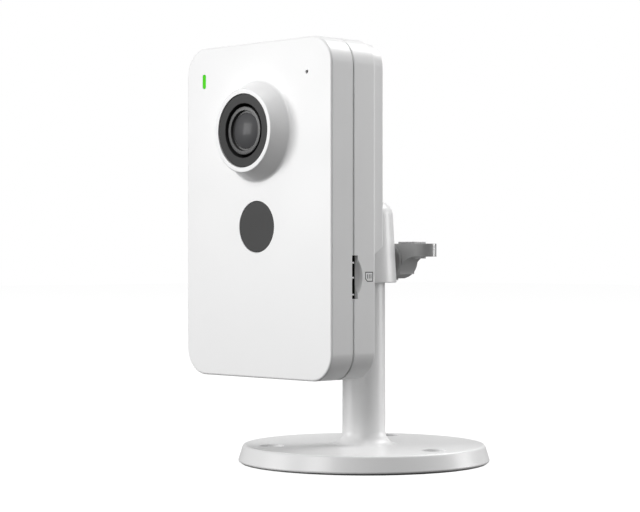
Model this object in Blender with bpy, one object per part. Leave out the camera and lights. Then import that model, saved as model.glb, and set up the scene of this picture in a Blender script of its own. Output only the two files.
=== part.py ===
"""Desk security camera: a flat camera head on a ball joint, a round post and a weighted base.

Metres, +Z up.  The origin is the centre of the base's underside, the lens looks along -Y and +X
is the camera's own left.
"""
import math

import bmesh
import bpy
from mathutils import Matrix, Vector

mm = 0.001

# ---- fits --------------------------------------------------------------------------------------
TOUCH_GAP = 0.3 * mm        # between two pieces that rest on each other
FIT_GAP = 0.1 * mm          # round a piece that fills a hole or turns in it

# ---- stand -------------------------------------------------------------------------------------
BASE_RADIUS = 38.36 * mm    # widest, just above the foot pad
BASE_TOP_RADIUS = 36.9 * mm
BASE_HEIGHT = 5.57 * mm
BASE_WALL = 2.1 * mm
BASE_EDGE = 0.9 * mm        # rounding of the upper rim
PAD_RADIUS = 37.65 * mm
PAD_THICKNESS = 0.5 * mm
WEIGHT_THICKNESS = 2.0 * mm
HOLE_CIRCLE = 28.9 * mm     # the three holes for screwing the base to a wall or ceiling
HOLE_COUNT = 3
HOLE_RADIUS = 3.8 * mm
HOLE_FLOOR = 2.2 * mm       # height of the seat for the screw's head
HOLE_SHANK_RADIUS = 2.2 * mm
HOLE_BOSS_RADIUS = 6.0 * mm
POST_RADIUS = 6.6 * mm
POST_DRAFT = 0.15 * mm      # how much the post narrows towards its top
POST_FILLET = 4.0 * mm
POST_CORE_RADIUS = 4.0 * mm
POST_EDGE = 0.7 * mm

# ---- ball joint --------------------------------------------------------------------------------
BALL_Z = 61.4 * mm
BALL_RADIUS = 7.0 * mm
BALL_FLAT = 5.0 * mm        # from the ball's centre down to its flat underside
SPIGOT_RADIUS = 3.0 * mm
SCREW_M3 = 1.25 * mm
CUP_ANGLES = (16, 44)       # friction cup's edges, in degrees from the top of the ball
CUP_THICKNESS = 1.0 * mm

# ---- socket housing on the back of the camera ---------------------------------------------------
HUB_BOTTOM = 54.9 * mm
HUB_TOP = 81.0 * mm
HUB_SPACE = 3.0 * mm        # from the ball out to the housing's foot
HUB_TAPER = 1.1 * mm
HUB_DOME = 5.5 * mm
HUB_WALL = 2.4 * mm
HUB_LIP = 0.8 * mm          # wall left at the mouth, where the bore flares
HUB_FLARE = 5.0 * mm
NECK_HALF_WIDTH = 6.0 * mm
NECK_BOTTOM = 56.0 * mm
NECK_TOP = 76.5 * mm

# ---- wing knob ---------------------------------------------------------------------------------
KNOB_RADIUS = 5.4 * mm
KNOB_FLANGE = 5.9 * mm
KNOB_FLANGE_THICKNESS = 1.4 * mm
KNOB_LENGTH = 10.4 * mm
KNOB_EDGE = 3.6 * mm
WING_REACH = 14.8 * mm
WING_HALF_WIDTH = 3.85 * mm
WING_THICKNESS = 4.0 * mm
WING_SETBACK = 1.3 * mm     # from the knob's front face to the wing
WING_FILLET = 5.4 * mm
GUSSET_LENGTH = 5.6 * mm    # of the web under each wing, along the screw
WING_ROOT = 0.7 * mm        # each wing starts this far past the middle of the boss
RIB_PITCH = 2.9 * mm
RIB_COUNT = 3
RIB_HEIGHT = 0.6 * mm
RIB_WIDTH = 1.0 * mm
RIB_FIRST = 2.5 * mm
CLAMP_SCREW_RADIUS = 1.9 * mm
INSERT_RADIUS = 2.9 * mm
INSERT_LENGTH = 1.4 * mm

# ---- camera head -------------------------------------------------------------------------------
HEAD_WIDTH = 62.52 * mm
HEAD_BOTTOM = 27.6 * mm
HEAD_HEIGHT = 97.5 * mm
HEAD_CORNER = 8.0 * mm
HEAD_EDGE = 0.58 * mm
FRONT_Y = -44.14 * mm
SEAM_Y = -35.4 * mm
SEAM_GROOVE = 0.5 * mm
BACK_Y = -26.7 * mm
BULGE_Y = -22.4 * mm
BULGE_INSET = 0.9 * mm
BULGE_FOOT = 62.4 * mm      # the back's raised part starts here
BULGE_SLOPE = 4.2 * mm      # height of its sloping foot
FRONT_WALL = 1.8 * mm
REAR_WALL = 2.4 * mm
BACK_WALL = 1.8 * mm
LIP_THICKNESS = 1.0 * mm
LIP_HEIGHT = 2.5 * mm
LIP_ROOT = 2.0 * mm         # how far the lip runs back along the rear cover's wall

# ---- lens --------------------------------------------------------------------------------------
LENS_Z = 99.2 * mm
COLLAR_Y = -49.66 * mm
COLLAR_RADIUS = 12.07 * mm
COLLAR_ROOT = 14.8 * mm
COLLAR_BORE = 10.68 * mm
COLLAR_FILLET = 0.7 * mm
BEZEL_SETBACK = 0.35 * mm
BEZEL_GAP = 0.85 * mm       # dark gap round the barrel
BARREL_RADIUS = 7.0 * mm
BARREL_SETBACK = 0.7 * mm   # barrel's front face behind the collar's rim
BARREL_LENGTH = 13.2 * mm
BARREL_THREAD = 6.0 * mm
GLASS_RADIUS = 5.15 * mm
GLASS_GROOVE = 0.65 * mm    # width of the sunk ring round the glass
GLASS_SEAT = 1.2 * mm
GLASS_CROWN = 0.8 * mm
HOLDER_HALF = 9.0 * mm
SENSOR_HALF = 4.8 * mm

# ---- front details -----------------------------------------------------------------------------
PIR_Z = 71.5 * mm
PIR_RADIUS = 7.43 * mm
LED_X = -23.4 * mm
LED_Z = 115.1 * mm
LED_WIDTH = 1.4 * mm
LED_LENGTH = 4.2 * mm
MIC_X = 21.3 * mm
MIC_HOLE = 0.58 * mm
MIC_RADIUS = 1.95 * mm

# ---- memory card slot in the +X side ------------------------------------------------------------
CARD_Z = 57.0 * mm
CARD_WIDTH = 11.0 * mm
CARD_LENGTH = 14.7 * mm
CARD_THICKNESS = 0.9 * mm
CARD_Y = -34.6 * mm
CARD_SETBACK = 2.0 * mm     # card's edge inside the side wall
SLOT_LENGTH = 12.3 * mm
SLOT_FRONT = -36.0 * mm
SLOT_BACK = -33.7 * mm
TAB_DEPTH = 0.8 * mm        # guide tabs that cross the front part of the slot
TAB_WIDTH = 0.6 * mm
TAB_COUNT = 3
SCALLOP_REACH = 1.9 * mm
SCALLOP_HALF = 5.0 * mm
SCALLOP_DEPTH = 1.5 * mm

# ---- boards and what they carry -----------------------------------------------------------------
BOARD_THICKNESS = 1.2 * mm
MAIN_BOARD_Y = -38.3 * mm   # front face
SENSOR_BOARD_Y = -31.9 * mm
BOARD_TOP = 88.0 * mm
CASE_SCREW_X = 25.2 * mm
CASE_SCREW_INSET = 6.0 * mm
CASE_BOSS = 1.9 * mm
CASE_SCREW = 0.9 * mm
CASE_SCREW_HEAD = 1.8 * mm
CASE_HEAD_HEIGHT = 0.8 * mm
COUNTERBORE_DEPTH = 1.0 * mm
JACK_X = -13.6 * mm
JACK_Z = 42.75 * mm
JACK_WIDTH = 16.0 * mm
JACK_HEIGHT = 13.5 * mm
JACK_DEPTH = 13.1 * mm
JACK_MOUTH_WIDTH = 11.8 * mm
JACK_MOUTH_HEIGHT = 7.0 * mm
POWER_X = 15.0 * mm
POWER_Z = 42.5 * mm
POWER_SIZE = 9.0 * mm
POWER_BORE = 3.15 * mm
RESET_X = 5.0 * mm
RESET_Z = 40.5 * mm
RESET_RADIUS = 1.0 * mm
RESET_TRAVEL = 0.4 * mm
SPEAKER_Z = 103.0 * mm
SPEAKER_RADIUS = 9.5 * mm
GRILLE_SLOTS = 7
GRILLE_PITCH = 2.4 * mm
GRILLE_WIDTH = 1.2 * mm

# ---- worked out from the sizes above -------------------------------------------------------------
HEAD_HALF = HEAD_WIDTH / 2
HEAD_TOP = HEAD_BOTTOM + HEAD_HEIGHT
SHELL_BOTTOM = PAD_THICKNESS + TOUCH_GAP
POST_TOP = BALL_Z - BALL_FLAT - TOUCH_GAP
FRONT_INNER = FRONT_Y + FRONT_WALL
BACK_INNER = BACK_Y - BACK_WALL
BULGE_INNER = BULGE_Y - BACK_WALL
FRONT_SEAM = SEAM_Y - SEAM_GROOVE / 2
REAR_SEAM = SEAM_Y + SEAM_GROOVE / 2
MAIN_BOARD_BACK = MAIN_BOARD_Y + BOARD_THICKNESS
PART_Y = MAIN_BOARD_BACK + TOUCH_GAP
CASE_SCREW_Z = (HEAD_BOTTOM + CASE_SCREW_INSET, HEAD_TOP - CASE_SCREW_INSET)
HUB_FOOT_RADIUS = BALL_RADIUS + HUB_SPACE
HUB_HEAD_RADIUS = HUB_FOOT_RADIUS - HUB_TAPER
HUB_REAR = HUB_FOOT_RADIUS - (HUB_FOOT_RADIUS - HUB_HEAD_RADIUS) * (BALL_Z - HUB_BOTTOM) / (
    HUB_TOP - HUB_DOME - HUB_BOTTOM)
SOCKET_RADIUS = BALL_RADIUS + 0.4 * mm
BEZEL_BORE = BARREL_RADIUS + BEZEL_GAP
KNOB_Y = HUB_REAR + TOUCH_GAP
BOARD_SCREWS = ((-22 * mm, 80 * mm), (22 * mm, 80 * mm), (0, 34 * mm))
HUB_SCREWS = (BULGE_FOOT - 3.2 * mm, BULGE_FOOT + BULGE_SLOPE + 4.4 * mm)


# ---- materials -----------------------------------------------------------------------------------
def make_material(name, colour, roughness, metallic=0.0):
    material = bpy.data.materials.new(name)
    material.use_nodes = True
    shader = material.node_tree.nodes["Principled BSDF"]
    shader.inputs["Base Color"].default_value = (*colour, 1.0)
    shader.inputs["Roughness"].default_value = roughness
    shader.inputs["Metallic"].default_value = metallic
    material.diffuse_color = (*colour, 1.0)
    return material


def make_materials():
    return {
        "white": make_material("white_plastic", (0.82, 0.82, 0.82), 0.35),
        "grey": make_material("grey_plastic", (0.21, 0.21, 0.21), 0.5),
        "black": make_material("black_plastic", (0.02, 0.02, 0.02), 0.45),
        "window": make_material("dark_window", (0.05, 0.05, 0.05), 0.2),
        "glass": make_material("lens_glass", (0.1, 0.1, 0.11), 0.05),
        "green": make_material("green_light", (0.15, 0.85, 0.05), 0.3),
        "steel": make_material("steel", (0.55, 0.55, 0.56), 0.3, 1.0),
        "brass": make_material("brass", (0.75, 0.6, 0.3), 0.35, 1.0),
        "rubber": make_material("rubber", (0.04, 0.04, 0.04), 0.8),
        "board": make_material("circuit_board", (0.02, 0.2, 0.08), 0.5),
        "nylon": make_material("nylon", (0.7, 0.68, 0.62), 0.55),
    }


# ---- shapes --------------------------------------------------------------------------------------
AXIS_TURNS = {
    "X": Matrix.Rotation(math.radians(90), 4, "Y"),
    "Y": Matrix.Rotation(math.radians(-90), 4, "X"),
    "Z": Matrix.Identity(4),
}


def arc(centre, radius, start, end, steps):
    """Points along an arc, angles in degrees from the first coordinate to the second."""
    points = []
    for step in range(steps + 1):
        angle = math.radians(start + (end - start) * step / steps)
        points.append((centre[0] + radius * math.cos(angle), centre[1] + radius * math.sin(angle)))
    return points


def rounded_box_outline(low, high, radius, steps=7):
    """A rectangle with round corners, as points in its own plane."""
    outline = []
    corners = ((high[0], high[1], 0), (low[0], high[1], 90), (low[0], low[1], 180), (high[0], low[1], 270))
    for u, v, start in corners:
        inside = (u - math.copysign(radius, u - (low[0] + high[0]) / 2),
                  v - math.copysign(radius, v - (low[1] + high[1]) / 2))
        outline += arc(inside, radius, start, start + 90, steps)
    return outline


def prism(outline, start, end, axis="Y"):
    """Extrude a flat outline along an axis: the outline is (x, z) for Y, (y, z) for X, (x, y) for Z."""
    shape = bmesh.new()
    places = {
        "X": lambda u, v: (start, u, v),
        "Y": lambda u, v: (u, start, v),
        "Z": lambda u, v: (u, v, start),
    }
    directions = {"X": (1, 0, 0), "Y": (0, 1, 0), "Z": (0, 0, 1)}
    face = shape.faces.new([shape.verts.new(places[axis](u, v)) for u, v in outline])
    grown = bmesh.ops.extrude_face_region(shape, geom=[face])
    moved = [item for item in grown["geom"] if isinstance(item, bmesh.types.BMVert)]
    bmesh.ops.translate(shape, verts=moved, vec=Vector(directions[axis]) * (end - start))
    bmesh.ops.recalc_face_normals(shape, faces=shape.faces)
    return shape


def block(low, high):
    outline = ((low[0], low[2]), (high[0], low[2]), (high[0], high[2]), (low[0], high[2]))
    return prism(outline, low[1], high[1])


def disc(centre, radius, start, end, axis="Y", steps=20):
    """A cylinder along an axis: the centre is given in the outline's plane."""
    return prism(arc(centre, radius, 0, 360 - 360 / steps, steps - 1), start, end, axis)


def turned(profile, centre, axis="Z", steps=32, ring=False):
    """Spin a profile of (radius, place along the axis) points round an axis through the centre."""
    shape = bmesh.new()
    verts = [shape.verts.new((radius, 0, along)) for radius, along in profile]
    pairs = list(zip(verts, verts[1:]))
    if ring:
        pairs.append((verts[-1], verts[0]))
    edges = [shape.edges.new(pair) for pair in pairs]
    bmesh.ops.spin(shape, geom=verts + edges, cent=(0, 0, 0), axis=(0, 0, 1), dvec=(0, 0, 0),
                   angle=math.tau, steps=steps, use_merge=True, use_duplicate=False)
    bmesh.ops.remove_doubles(shape, verts=shape.verts, dist=0.0001 * mm)
    bmesh.ops.dissolve_degenerate(shape, edges=shape.edges, dist=0.0001 * mm)
    bmesh.ops.recalc_face_normals(shape, faces=shape.faces)
    bmesh.ops.transform(shape, matrix=Matrix.Translation(centre) @ AXIS_TURNS[axis], verts=shape.verts)
    return shape


def add_object(name, shape, material=None, origin=(0, 0, 0)):
    """Make an object from a shape in world coordinates, with its origin where it turns or slides."""
    origin = Vector(origin)
    bmesh.ops.translate(shape, verts=shape.verts, vec=-origin)
    mesh = bpy.data.meshes.new(name)
    shape.to_mesh(mesh)
    shape.free()
    mesh.shade_smooth()
    mesh.set_sharp_from_angle(angle=math.radians(32))
    item = bpy.data.objects.new(name, mesh)
    item.location = origin
    if material:
        mesh.materials.append(material)
    bpy.context.scene.collection.objects.link(item)
    return item


def combine(target, shapes, operation):
    """Add shapes to an object, or take them away from it, with live Boolean modifiers."""
    for shape in shapes:
        count = len(target.modifiers)
        tool = add_object(f"{target.name}_tool_{count}", shape)
        tool.hide_render = True
        tool.display_type = "WIRE"
        modifier = target.modifiers.new(f"{operation.lower()}_{count}", "BOOLEAN")
        modifier.operation = operation
        modifier.object = tool


def cut(target, shapes):
    combine(target, shapes, "DIFFERENCE")


def weld(target, shapes):
    combine(target, shapes, "UNION")


def soften_edges(shape, side, width, segments=2):
    """Round the edges of the face that looks along the given side."""
    for face in shape.faces:
        if face.normal.dot(Vector(side)) > 0.99:
            bmesh.ops.bevel(shape, geom=list(face.edges), offset=width, offset_type="OFFSET",
                            segments=segments, profile=0.5, affect="EDGES")
            break
    return shape


def head_outline(inset, steps=6):
    """The camera head's outline seen from the front, drawn in by an inset."""
    low = (-HEAD_HALF + inset, HEAD_BOTTOM + inset)
    high = (HEAD_HALF - inset, HEAD_TOP - inset)
    return rounded_box_outline(low, high, HEAD_CORNER - inset, steps)


# ---- stand ---------------------------------------------------------------------------------------
def hole_places():
    for index in range(HOLE_COUNT):
        angle = math.tau * index / HOLE_COUNT
        yield (HOLE_CIRCLE * math.cos(angle), HOLE_CIRCLE * math.sin(angle))


def build_stand(finish):
    """The moulded base and post, hollow from below, with a spigot for the ball on top."""
    under = BASE_HEIGHT - BASE_WALL
    post_head = POST_RADIUS - POST_DRAFT
    pilot = SCREW_M3 + FIT_GAP
    spigot_top = BALL_Z - 1.0 * mm
    pilot_floor = POST_TOP - 5.0 * mm
    cavity = BASE_TOP_RADIUS - BASE_WALL
    slope = (BASE_RADIUS - BASE_TOP_RADIUS) / (BASE_HEIGHT - SHELL_BOTTOM)
    rim = BASE_TOP_RADIUS + slope * BASE_EDGE
    profile = [(0, pilot_floor), (pilot, pilot_floor), (pilot, spigot_top), (SPIGOT_RADIUS, spigot_top),
               (SPIGOT_RADIUS, POST_TOP)]
    profile += arc((post_head - POST_EDGE, POST_TOP - POST_EDGE), POST_EDGE, 90, 0, 3)
    fillet_centre = (POST_RADIUS + POST_FILLET, BASE_HEIGHT + POST_FILLET)
    profile += arc(fillet_centre, POST_FILLET, 180, 270, 4)
    profile += arc((rim - BASE_EDGE, BASE_HEIGHT - BASE_EDGE), BASE_EDGE, 90, 12, 3)
    profile += [(BASE_RADIUS, SHELL_BOTTOM + 0.2 * mm), (BASE_RADIUS - 0.2 * mm, SHELL_BOTTOM)]
    core_top = pilot_floor - 3.0 * mm
    profile += [(cavity, SHELL_BOTTOM), (cavity, under), (POST_CORE_RADIUS, under),
                (POST_CORE_RADIUS, core_top), (0, core_top)]
    stand = add_object("stand_base", turned(profile, (0, 0, 0), steps=40), finish["white"])
    for place in hole_places():
        weld(stand, [disc(place, HOLE_BOSS_RADIUS, SHELL_BOTTOM, under + 0.5 * mm, "Z", 16)])
    for place in hole_places():
        cut(stand, [disc(place, HOLE_RADIUS, HOLE_FLOOR, BASE_HEIGHT + mm, "Z", 20),
                    disc(place, HOLE_SHANK_RADIUS, -mm, HOLE_FLOOR + mm, "Z", 12)])


def build_base_weight(finish):
    top = BASE_HEIGHT - BASE_WALL - TOUCH_GAP
    radius = BASE_TOP_RADIUS - BASE_WALL - TOUCH_GAP
    weight = add_object("base_weight", disc((0, 0), radius, top - WEIGHT_THICKNESS, top, "Z", 40),
                        finish["steel"])
    low = top - WEIGHT_THICKNESS - mm
    cut(weight, [disc((0, 0), POST_CORE_RADIUS + mm, low, top + mm, "Z", 24)])
    for place in hole_places():
        cut(weight, [disc(place, HOLE_BOSS_RADIUS + TOUCH_GAP, low, top + mm, "Z", 16)])


def build_foot_pad(finish):
    pad = add_object("foot_pad", disc((0, 0), PAD_RADIUS, 0, PAD_THICKNESS, "Z", 40), finish["rubber"])
    for place in hole_places():
        cut(pad, [disc(place, HOLE_SHANK_RADIUS + TOUCH_GAP, -mm, PAD_THICKNESS + mm, "Z", 12)])


# ---- ball joint ----------------------------------------------------------------------------------
def build_ball(finish):
    """The ball on the post's spigot, held by a screw from above."""
    bore = SPIGOT_RADIUS + TOUCH_GAP
    seat = BALL_Z + 3.0 * mm
    well = 2.4 * mm
    start = -math.degrees(math.asin(BALL_FLAT / BALL_RADIUS))
    end = math.degrees(math.acos(well / BALL_RADIUS))
    profile = arc((0, BALL_Z), BALL_RADIUS, start, end, 10)
    profile += [(well, seat), (SCREW_M3 + TOUCH_GAP, seat), (SCREW_M3 + TOUCH_GAP, BALL_Z - 0.6 * mm),
                (bore, BALL_Z - 0.6 * mm), (bore, BALL_Z - BALL_FLAT)]
    add_object("ball", turned(profile, (0, 0, 0), steps=28, ring=True), finish["grey"], (0, 0, BALL_Z))
    head_low = seat + TOUCH_GAP
    screw = [(0, POST_TOP - 4.5 * mm), (SCREW_M3, POST_TOP - 4.5 * mm), (SCREW_M3, head_low),
             (well - TOUCH_GAP, head_low), (well - TOUCH_GAP, head_low + 1.2 * mm),
             (0.9 * mm, head_low + 1.6 * mm), (0.9 * mm, head_low + 0.6 * mm), (0, head_low + 0.6 * mm)]
    add_object("ball_screw", turned(screw, (0, 0, 0), steps=16), finish["steel"])


def build_ball_cup(finish):
    """The friction cup that presses on the top of the ball."""
    inner = BALL_RADIUS + 0.2 * mm
    low, high = (90 - CUP_ANGLES[1], 90 - CUP_ANGLES[0])
    profile = arc((0, BALL_Z), inner, low, high, 4)
    profile += arc((0, BALL_Z), inner + CUP_THICKNESS, high, low, 4)
    add_object("ball_cup", turned(profile, (0, 0, 0), steps=24, ring=True), finish["nylon"], (0, 0, BALL_Z))


# ---- socket housing and clamp --------------------------------------------------------------------
def hub_profile():
    dome_z = HUB_TOP - HUB_DOME
    profile = [(0, HUB_BOTTOM), (HUB_FOOT_RADIUS, HUB_BOTTOM)]
    for step in range(7):
        angle = math.pi / 2 * step / 6
        profile.append((HUB_HEAD_RADIUS * math.cos(angle), dome_z + HUB_DOME * math.sin(angle)))
    return profile


def socket_profile():
    """The hollow inside the socket housing, open at the bottom where it flares for the post."""
    mouth = HUB_FOOT_RADIUS - HUB_LIP
    dome_z = HUB_TOP - HUB_DOME
    shoulder = min(SOCKET_RADIUS, HUB_HEAD_RADIUS - HUB_WALL + 0.9 * mm)
    flare_end = HUB_BOTTOM + HUB_FLARE
    profile = [(0, HUB_BOTTOM - mm), (mouth, HUB_BOTTOM - mm), (mouth, HUB_BOTTOM),
               (SOCKET_RADIUS, flare_end)]
    for step in range(5):
        angle = math.pi / 2 * step / 4
        profile.append((shoulder * math.cos(angle), dome_z - mm + (HUB_DOME - HUB_WALL) * math.sin(angle)))
    return profile


def back_profile(gap):
    """The back of the rear cover from the side, as (y, z) points, moved out by a gap."""
    foot = BULGE_FOOT - gap
    rise = BULGE_SLOPE
    middle = (BACK_Y + BULGE_Y) / 2 + gap
    half = (BULGE_Y - BACK_Y) / 2
    points = []
    for step in range(9):
        turn = math.pi * step / 8
        points.append((middle - half * math.cos(turn), foot + rise * step / 8))
    return points


def build_socket_housing(finish):
    housing = add_object("socket_housing", turned(hub_profile(), (0, 0, 0), steps=32), finish["white"])
    neck = block((-NECK_HALF_WIDTH, BACK_Y - mm, NECK_BOTTOM), (NECK_HALF_WIDTH, 0, NECK_TOP))
    weld(housing, [neck])
    cover = [(FRONT_Y, HEAD_BOTTOM), (BACK_Y + TOUCH_GAP, HEAD_BOTTOM)] + back_profile(TOUCH_GAP)
    cover += [(BULGE_Y + TOUCH_GAP, HEAD_TOP), (FRONT_Y, HEAD_TOP)]
    cut(housing, [turned(socket_profile(), (0, 0, 0), steps=32),
                  prism(cover, -2 * NECK_HALF_WIDTH, 2 * NECK_HALF_WIDTH, "X")])
    pocket = HUB_REAR - INSERT_LENGTH - 2 * FIT_GAP
    centre = (0, BALL_Z)
    cut(housing, [disc(centre, INSERT_RADIUS + FIT_GAP, pocket, HUB_REAR + 2 * mm),
                  disc(centre, CLAMP_SCREW_RADIUS + TOUCH_GAP, 0, pocket + mm)])
    for z in HUB_SCREWS:
        cut(housing, [disc((0, z), SCREW_M3 + FIT_GAP, BACK_Y - mm, -SOCKET_RADIUS - 5.0 * mm, steps=16)])
    profile = [(CLAMP_SCREW_RADIUS + FIT_GAP, pocket + FIT_GAP), (INSERT_RADIUS, pocket + FIT_GAP),
               (INSERT_RADIUS, pocket + FIT_GAP + INSERT_LENGTH),
               (CLAMP_SCREW_RADIUS + FIT_GAP, pocket + FIT_GAP + INSERT_LENGTH)]
    add_object("thread_insert", turned(profile, (0, 0, BALL_Z), "Y", 24, ring=True), finish["brass"])


def build_hub_screws(finish):
    inner_faces = (BACK_INNER, BULGE_INNER)
    for index, (z, inner) in enumerate(zip(HUB_SCREWS, inner_faces)):
        head = inner - TOUCH_GAP
        profile = [(0, head - 1.4 * mm), (2.3 * mm, head - 1.2 * mm), (2.3 * mm, head), (SCREW_M3, head),
                   (SCREW_M3, head + 8.0 * mm), (0, head + 8.0 * mm)]
        add_object(f"hub_screw_{index + 1}", turned(profile, (0, 0, z), "Y", 16), finish["steel"])


def half_wing(side):
    """One wing of the knob with its grip ribs: side 1 reaches to +X at the top, -1 is its twin."""
    front = KNOB_Y + WING_SETBACK
    middle = front + WING_HALF_WIDTH
    end = WING_REACH - WING_HALF_WIDTH
    outline = [(WING_ROOT, front + 2 * WING_HALF_WIDTH), (WING_ROOT, front)]
    outline += arc((end, middle), WING_HALF_WIDTH, -90, 90, 10)
    top = KNOB_RADIUS
    shapes = [prism(outline, top - WING_THICKNESS, top, "Z")]
    inner = KNOB_RADIUS - 0.3 * mm
    corner = (inner + WING_FILLET, top - WING_THICKNESS - WING_FILLET)
    gusset = [(1.5 * mm, top - WING_THICKNESS + 0.4 * mm), (corner[0], top - WING_THICKNESS + 0.4 * mm)]
    gusset += arc(corner, WING_FILLET, 90, 180, 6)
    gusset += [(1.5 * mm, corner[1])]
    shapes.append(prism(gusset, front + 0.1 * mm, front + 0.1 * mm + GUSSET_LENGTH))
    for index in range(RIB_COUNT):
        x = RIB_FIRST + RIB_PITCH * index
        reach = WING_HALF_WIDTH - mm
        low = (x, middle - reach, top - WING_THICKNESS - RIB_HEIGHT)
        high = (x + RIB_WIDTH, middle + reach, top + RIB_HEIGHT)
        if index == 0:
            low = (x, middle - reach, top - mm)
        shapes.append(block(low, high))
    if side < 0:
        for shape in shapes:
            half_turn = Matrix.Rotation(math.pi, 3, "Y")
            bmesh.ops.rotate(shape, verts=shape.verts, cent=(0, 0, 0), matrix=half_turn)
    for shape in shapes:
        bmesh.ops.translate(shape, verts=shape.verts, vec=(0, 0, BALL_Z))
    return shapes


def build_wing_knob(finish):
    end = KNOB_Y + KNOB_LENGTH
    step = KNOB_Y + KNOB_FLANGE_THICKNESS
    bore = CLAMP_SCREW_RADIUS + FIT_GAP
    bore_end = end - 2.4 * mm
    profile = [(0, KNOB_Y), (KNOB_FLANGE, KNOB_Y), (KNOB_FLANGE, step), (KNOB_RADIUS, step + 0.3 * mm)]
    profile += [(r, y) for y, r in arc((end - KNOB_EDGE, KNOB_RADIUS - KNOB_EDGE), KNOB_EDGE, 90, 0, 4)]
    profile += [(0, end)]
    knob = add_object("wing_knob", turned(profile, (0, 0, BALL_Z), "Y", 32), finish["grey"],
                      (0, KNOB_Y, BALL_Z))
    for side in (1, -1):
        weld(knob, half_wing(side))
    cut(knob, [disc((0, BALL_Z), bore, KNOB_Y - mm, bore_end, steps=32)])
    tip = BALL_RADIUS + 0.15 * mm
    screw = [(0, tip), (CLAMP_SCREW_RADIUS - 0.4 * mm, tip), (CLAMP_SCREW_RADIUS, tip + 0.4 * mm),
             (CLAMP_SCREW_RADIUS, bore_end - FIT_GAP), (0, bore_end - FIT_GAP)]
    add_object("clamp_screw", turned(screw, (0, 0, BALL_Z), "Y", 24), finish["steel"], (0, tip, BALL_Z))


# ---- camera head: covers -------------------------------------------------------------------------
def case_screw_places():
    for z in CASE_SCREW_Z:
        for x in (-CASE_SCREW_X, CASE_SCREW_X):
            yield x, z


def back_at(z):
    """The outer face of the back at a height well clear of the sloping foot."""
    return BULGE_Y if z > BULGE_FOOT else BACK_Y


def side_slot():
    half = SLOT_LENGTH / 2
    return block((HEAD_HALF - 5.0 * mm, SLOT_FRONT, CARD_Z - half),
                 (HEAD_HALF + mm, SLOT_BACK, CARD_Z + half))


def build_front_cover(finish):
    shell = soften_edges(prism(head_outline(0), FRONT_SEAM, FRONT_Y), (0, -1, 0), HEAD_EDGE)
    cover = add_object("front_cover", shell, finish["white"])
    cut(cover, [prism(head_outline(FRONT_WALL), FRONT_INNER, FRONT_SEAM + mm)])
    for x, z in case_screw_places():
        end = back_at(z) - BACK_WALL - TOUCH_GAP
        weld(cover, [disc((x, z), CASE_BOSS, FRONT_INNER - 0.5 * mm, end, steps=16)])
        cut(cover, [disc((x, z), CASE_SCREW + FIT_GAP, end - 9.0 * mm, end + mm, steps=12)])
    for x, z in BOARD_SCREWS:
        end = MAIN_BOARD_Y - TOUCH_GAP
        weld(cover, [disc((x, z), CASE_BOSS, FRONT_INNER - 0.5 * mm, end, steps=16)])
        cut(cover, [disc((x, z), CASE_SCREW + FIT_GAP, FRONT_INNER + 0.2 * mm, end + mm, steps=12)])
    skirt = COLLAR_BORE + 1.4 * mm
    cut(cover, [disc((0, LENS_Z), COLLAR_BORE + 0.6 * mm, FRONT_Y - mm, FRONT_INNER + mm, steps=40)])
    profile = [(COLLAR_BORE, COLLAR_Y), (COLLAR_RADIUS - 0.2 * mm, COLLAR_Y),
               (COLLAR_RADIUS, COLLAR_Y + 0.2 * mm),
               (COLLAR_ROOT, FRONT_Y - COLLAR_FILLET), (COLLAR_ROOT + 0.8 * mm, FRONT_Y + 0.01 * mm),
               (COLLAR_ROOT + 0.8 * mm, FRONT_Y + mm), (skirt, FRONT_INNER + 0.2 * mm),
               (skirt, FRONT_INNER + 1.6 * mm), (COLLAR_BORE, FRONT_INNER + 1.6 * mm)]
    weld(cover, [turned(profile, (0, 0, LENS_Z), "Y", 40, ring=True)])
    cut(cover, [disc((0, PIR_Z), PIR_RADIUS + FIT_GAP, FRONT_Y - mm, FRONT_INNER + mm, steps=36),
                disc((MIC_X, LED_Z), MIC_HOLE, FRONT_Y - mm, FRONT_INNER + mm, steps=12),
                prism(led_outline(FIT_GAP), FRONT_Y - mm, FRONT_INNER + mm),
                side_slot()])
    reach = SLOT_FRONT + TAB_DEPTH
    for index in range(TAB_COUNT):
        z = CARD_Z - SLOT_LENGTH / 2 + SLOT_LENGTH * (0.16 + 0.31 * index)
        weld(cover, [block((HEAD_HALF - FRONT_WALL + 0.2 * mm, SLOT_FRONT - 0.5 * mm, z - TAB_WIDTH / 2),
                           (HEAD_HALF - 0.15 * mm, reach, z + TAB_WIDTH / 2))])


def led_outline(gap):
    low = (LED_X - LED_WIDTH / 2 - gap, LED_Z - LED_LENGTH / 2 - gap)
    high = (LED_X + LED_WIDTH / 2 + gap, LED_Z + LED_LENGTH / 2 + gap)
    return rounded_box_outline(low, high, LED_WIDTH / 2, 4)


def scallop():
    """A shallow spherical hollow behind the card slot, for a fingertip."""
    ring = (SCALLOP_HALF ** 2 + SCALLOP_REACH ** 2) / (2 * SCALLOP_REACH)
    near = ring - SCALLOP_REACH
    out = (ring ** 2 - near ** 2 - SCALLOP_DEPTH ** 2) / (2 * SCALLOP_DEPTH)
    radius = math.hypot(out, ring)
    centre = (HEAD_HALF + out, SLOT_BACK + SCALLOP_REACH - ring, CARD_Z)
    profile = arc((0, 0), radius, -90, 90, 20)
    profile[0] = (0, -radius)
    profile[-1] = (0, radius)
    return turned(profile, centre, "X", 40)


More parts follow.
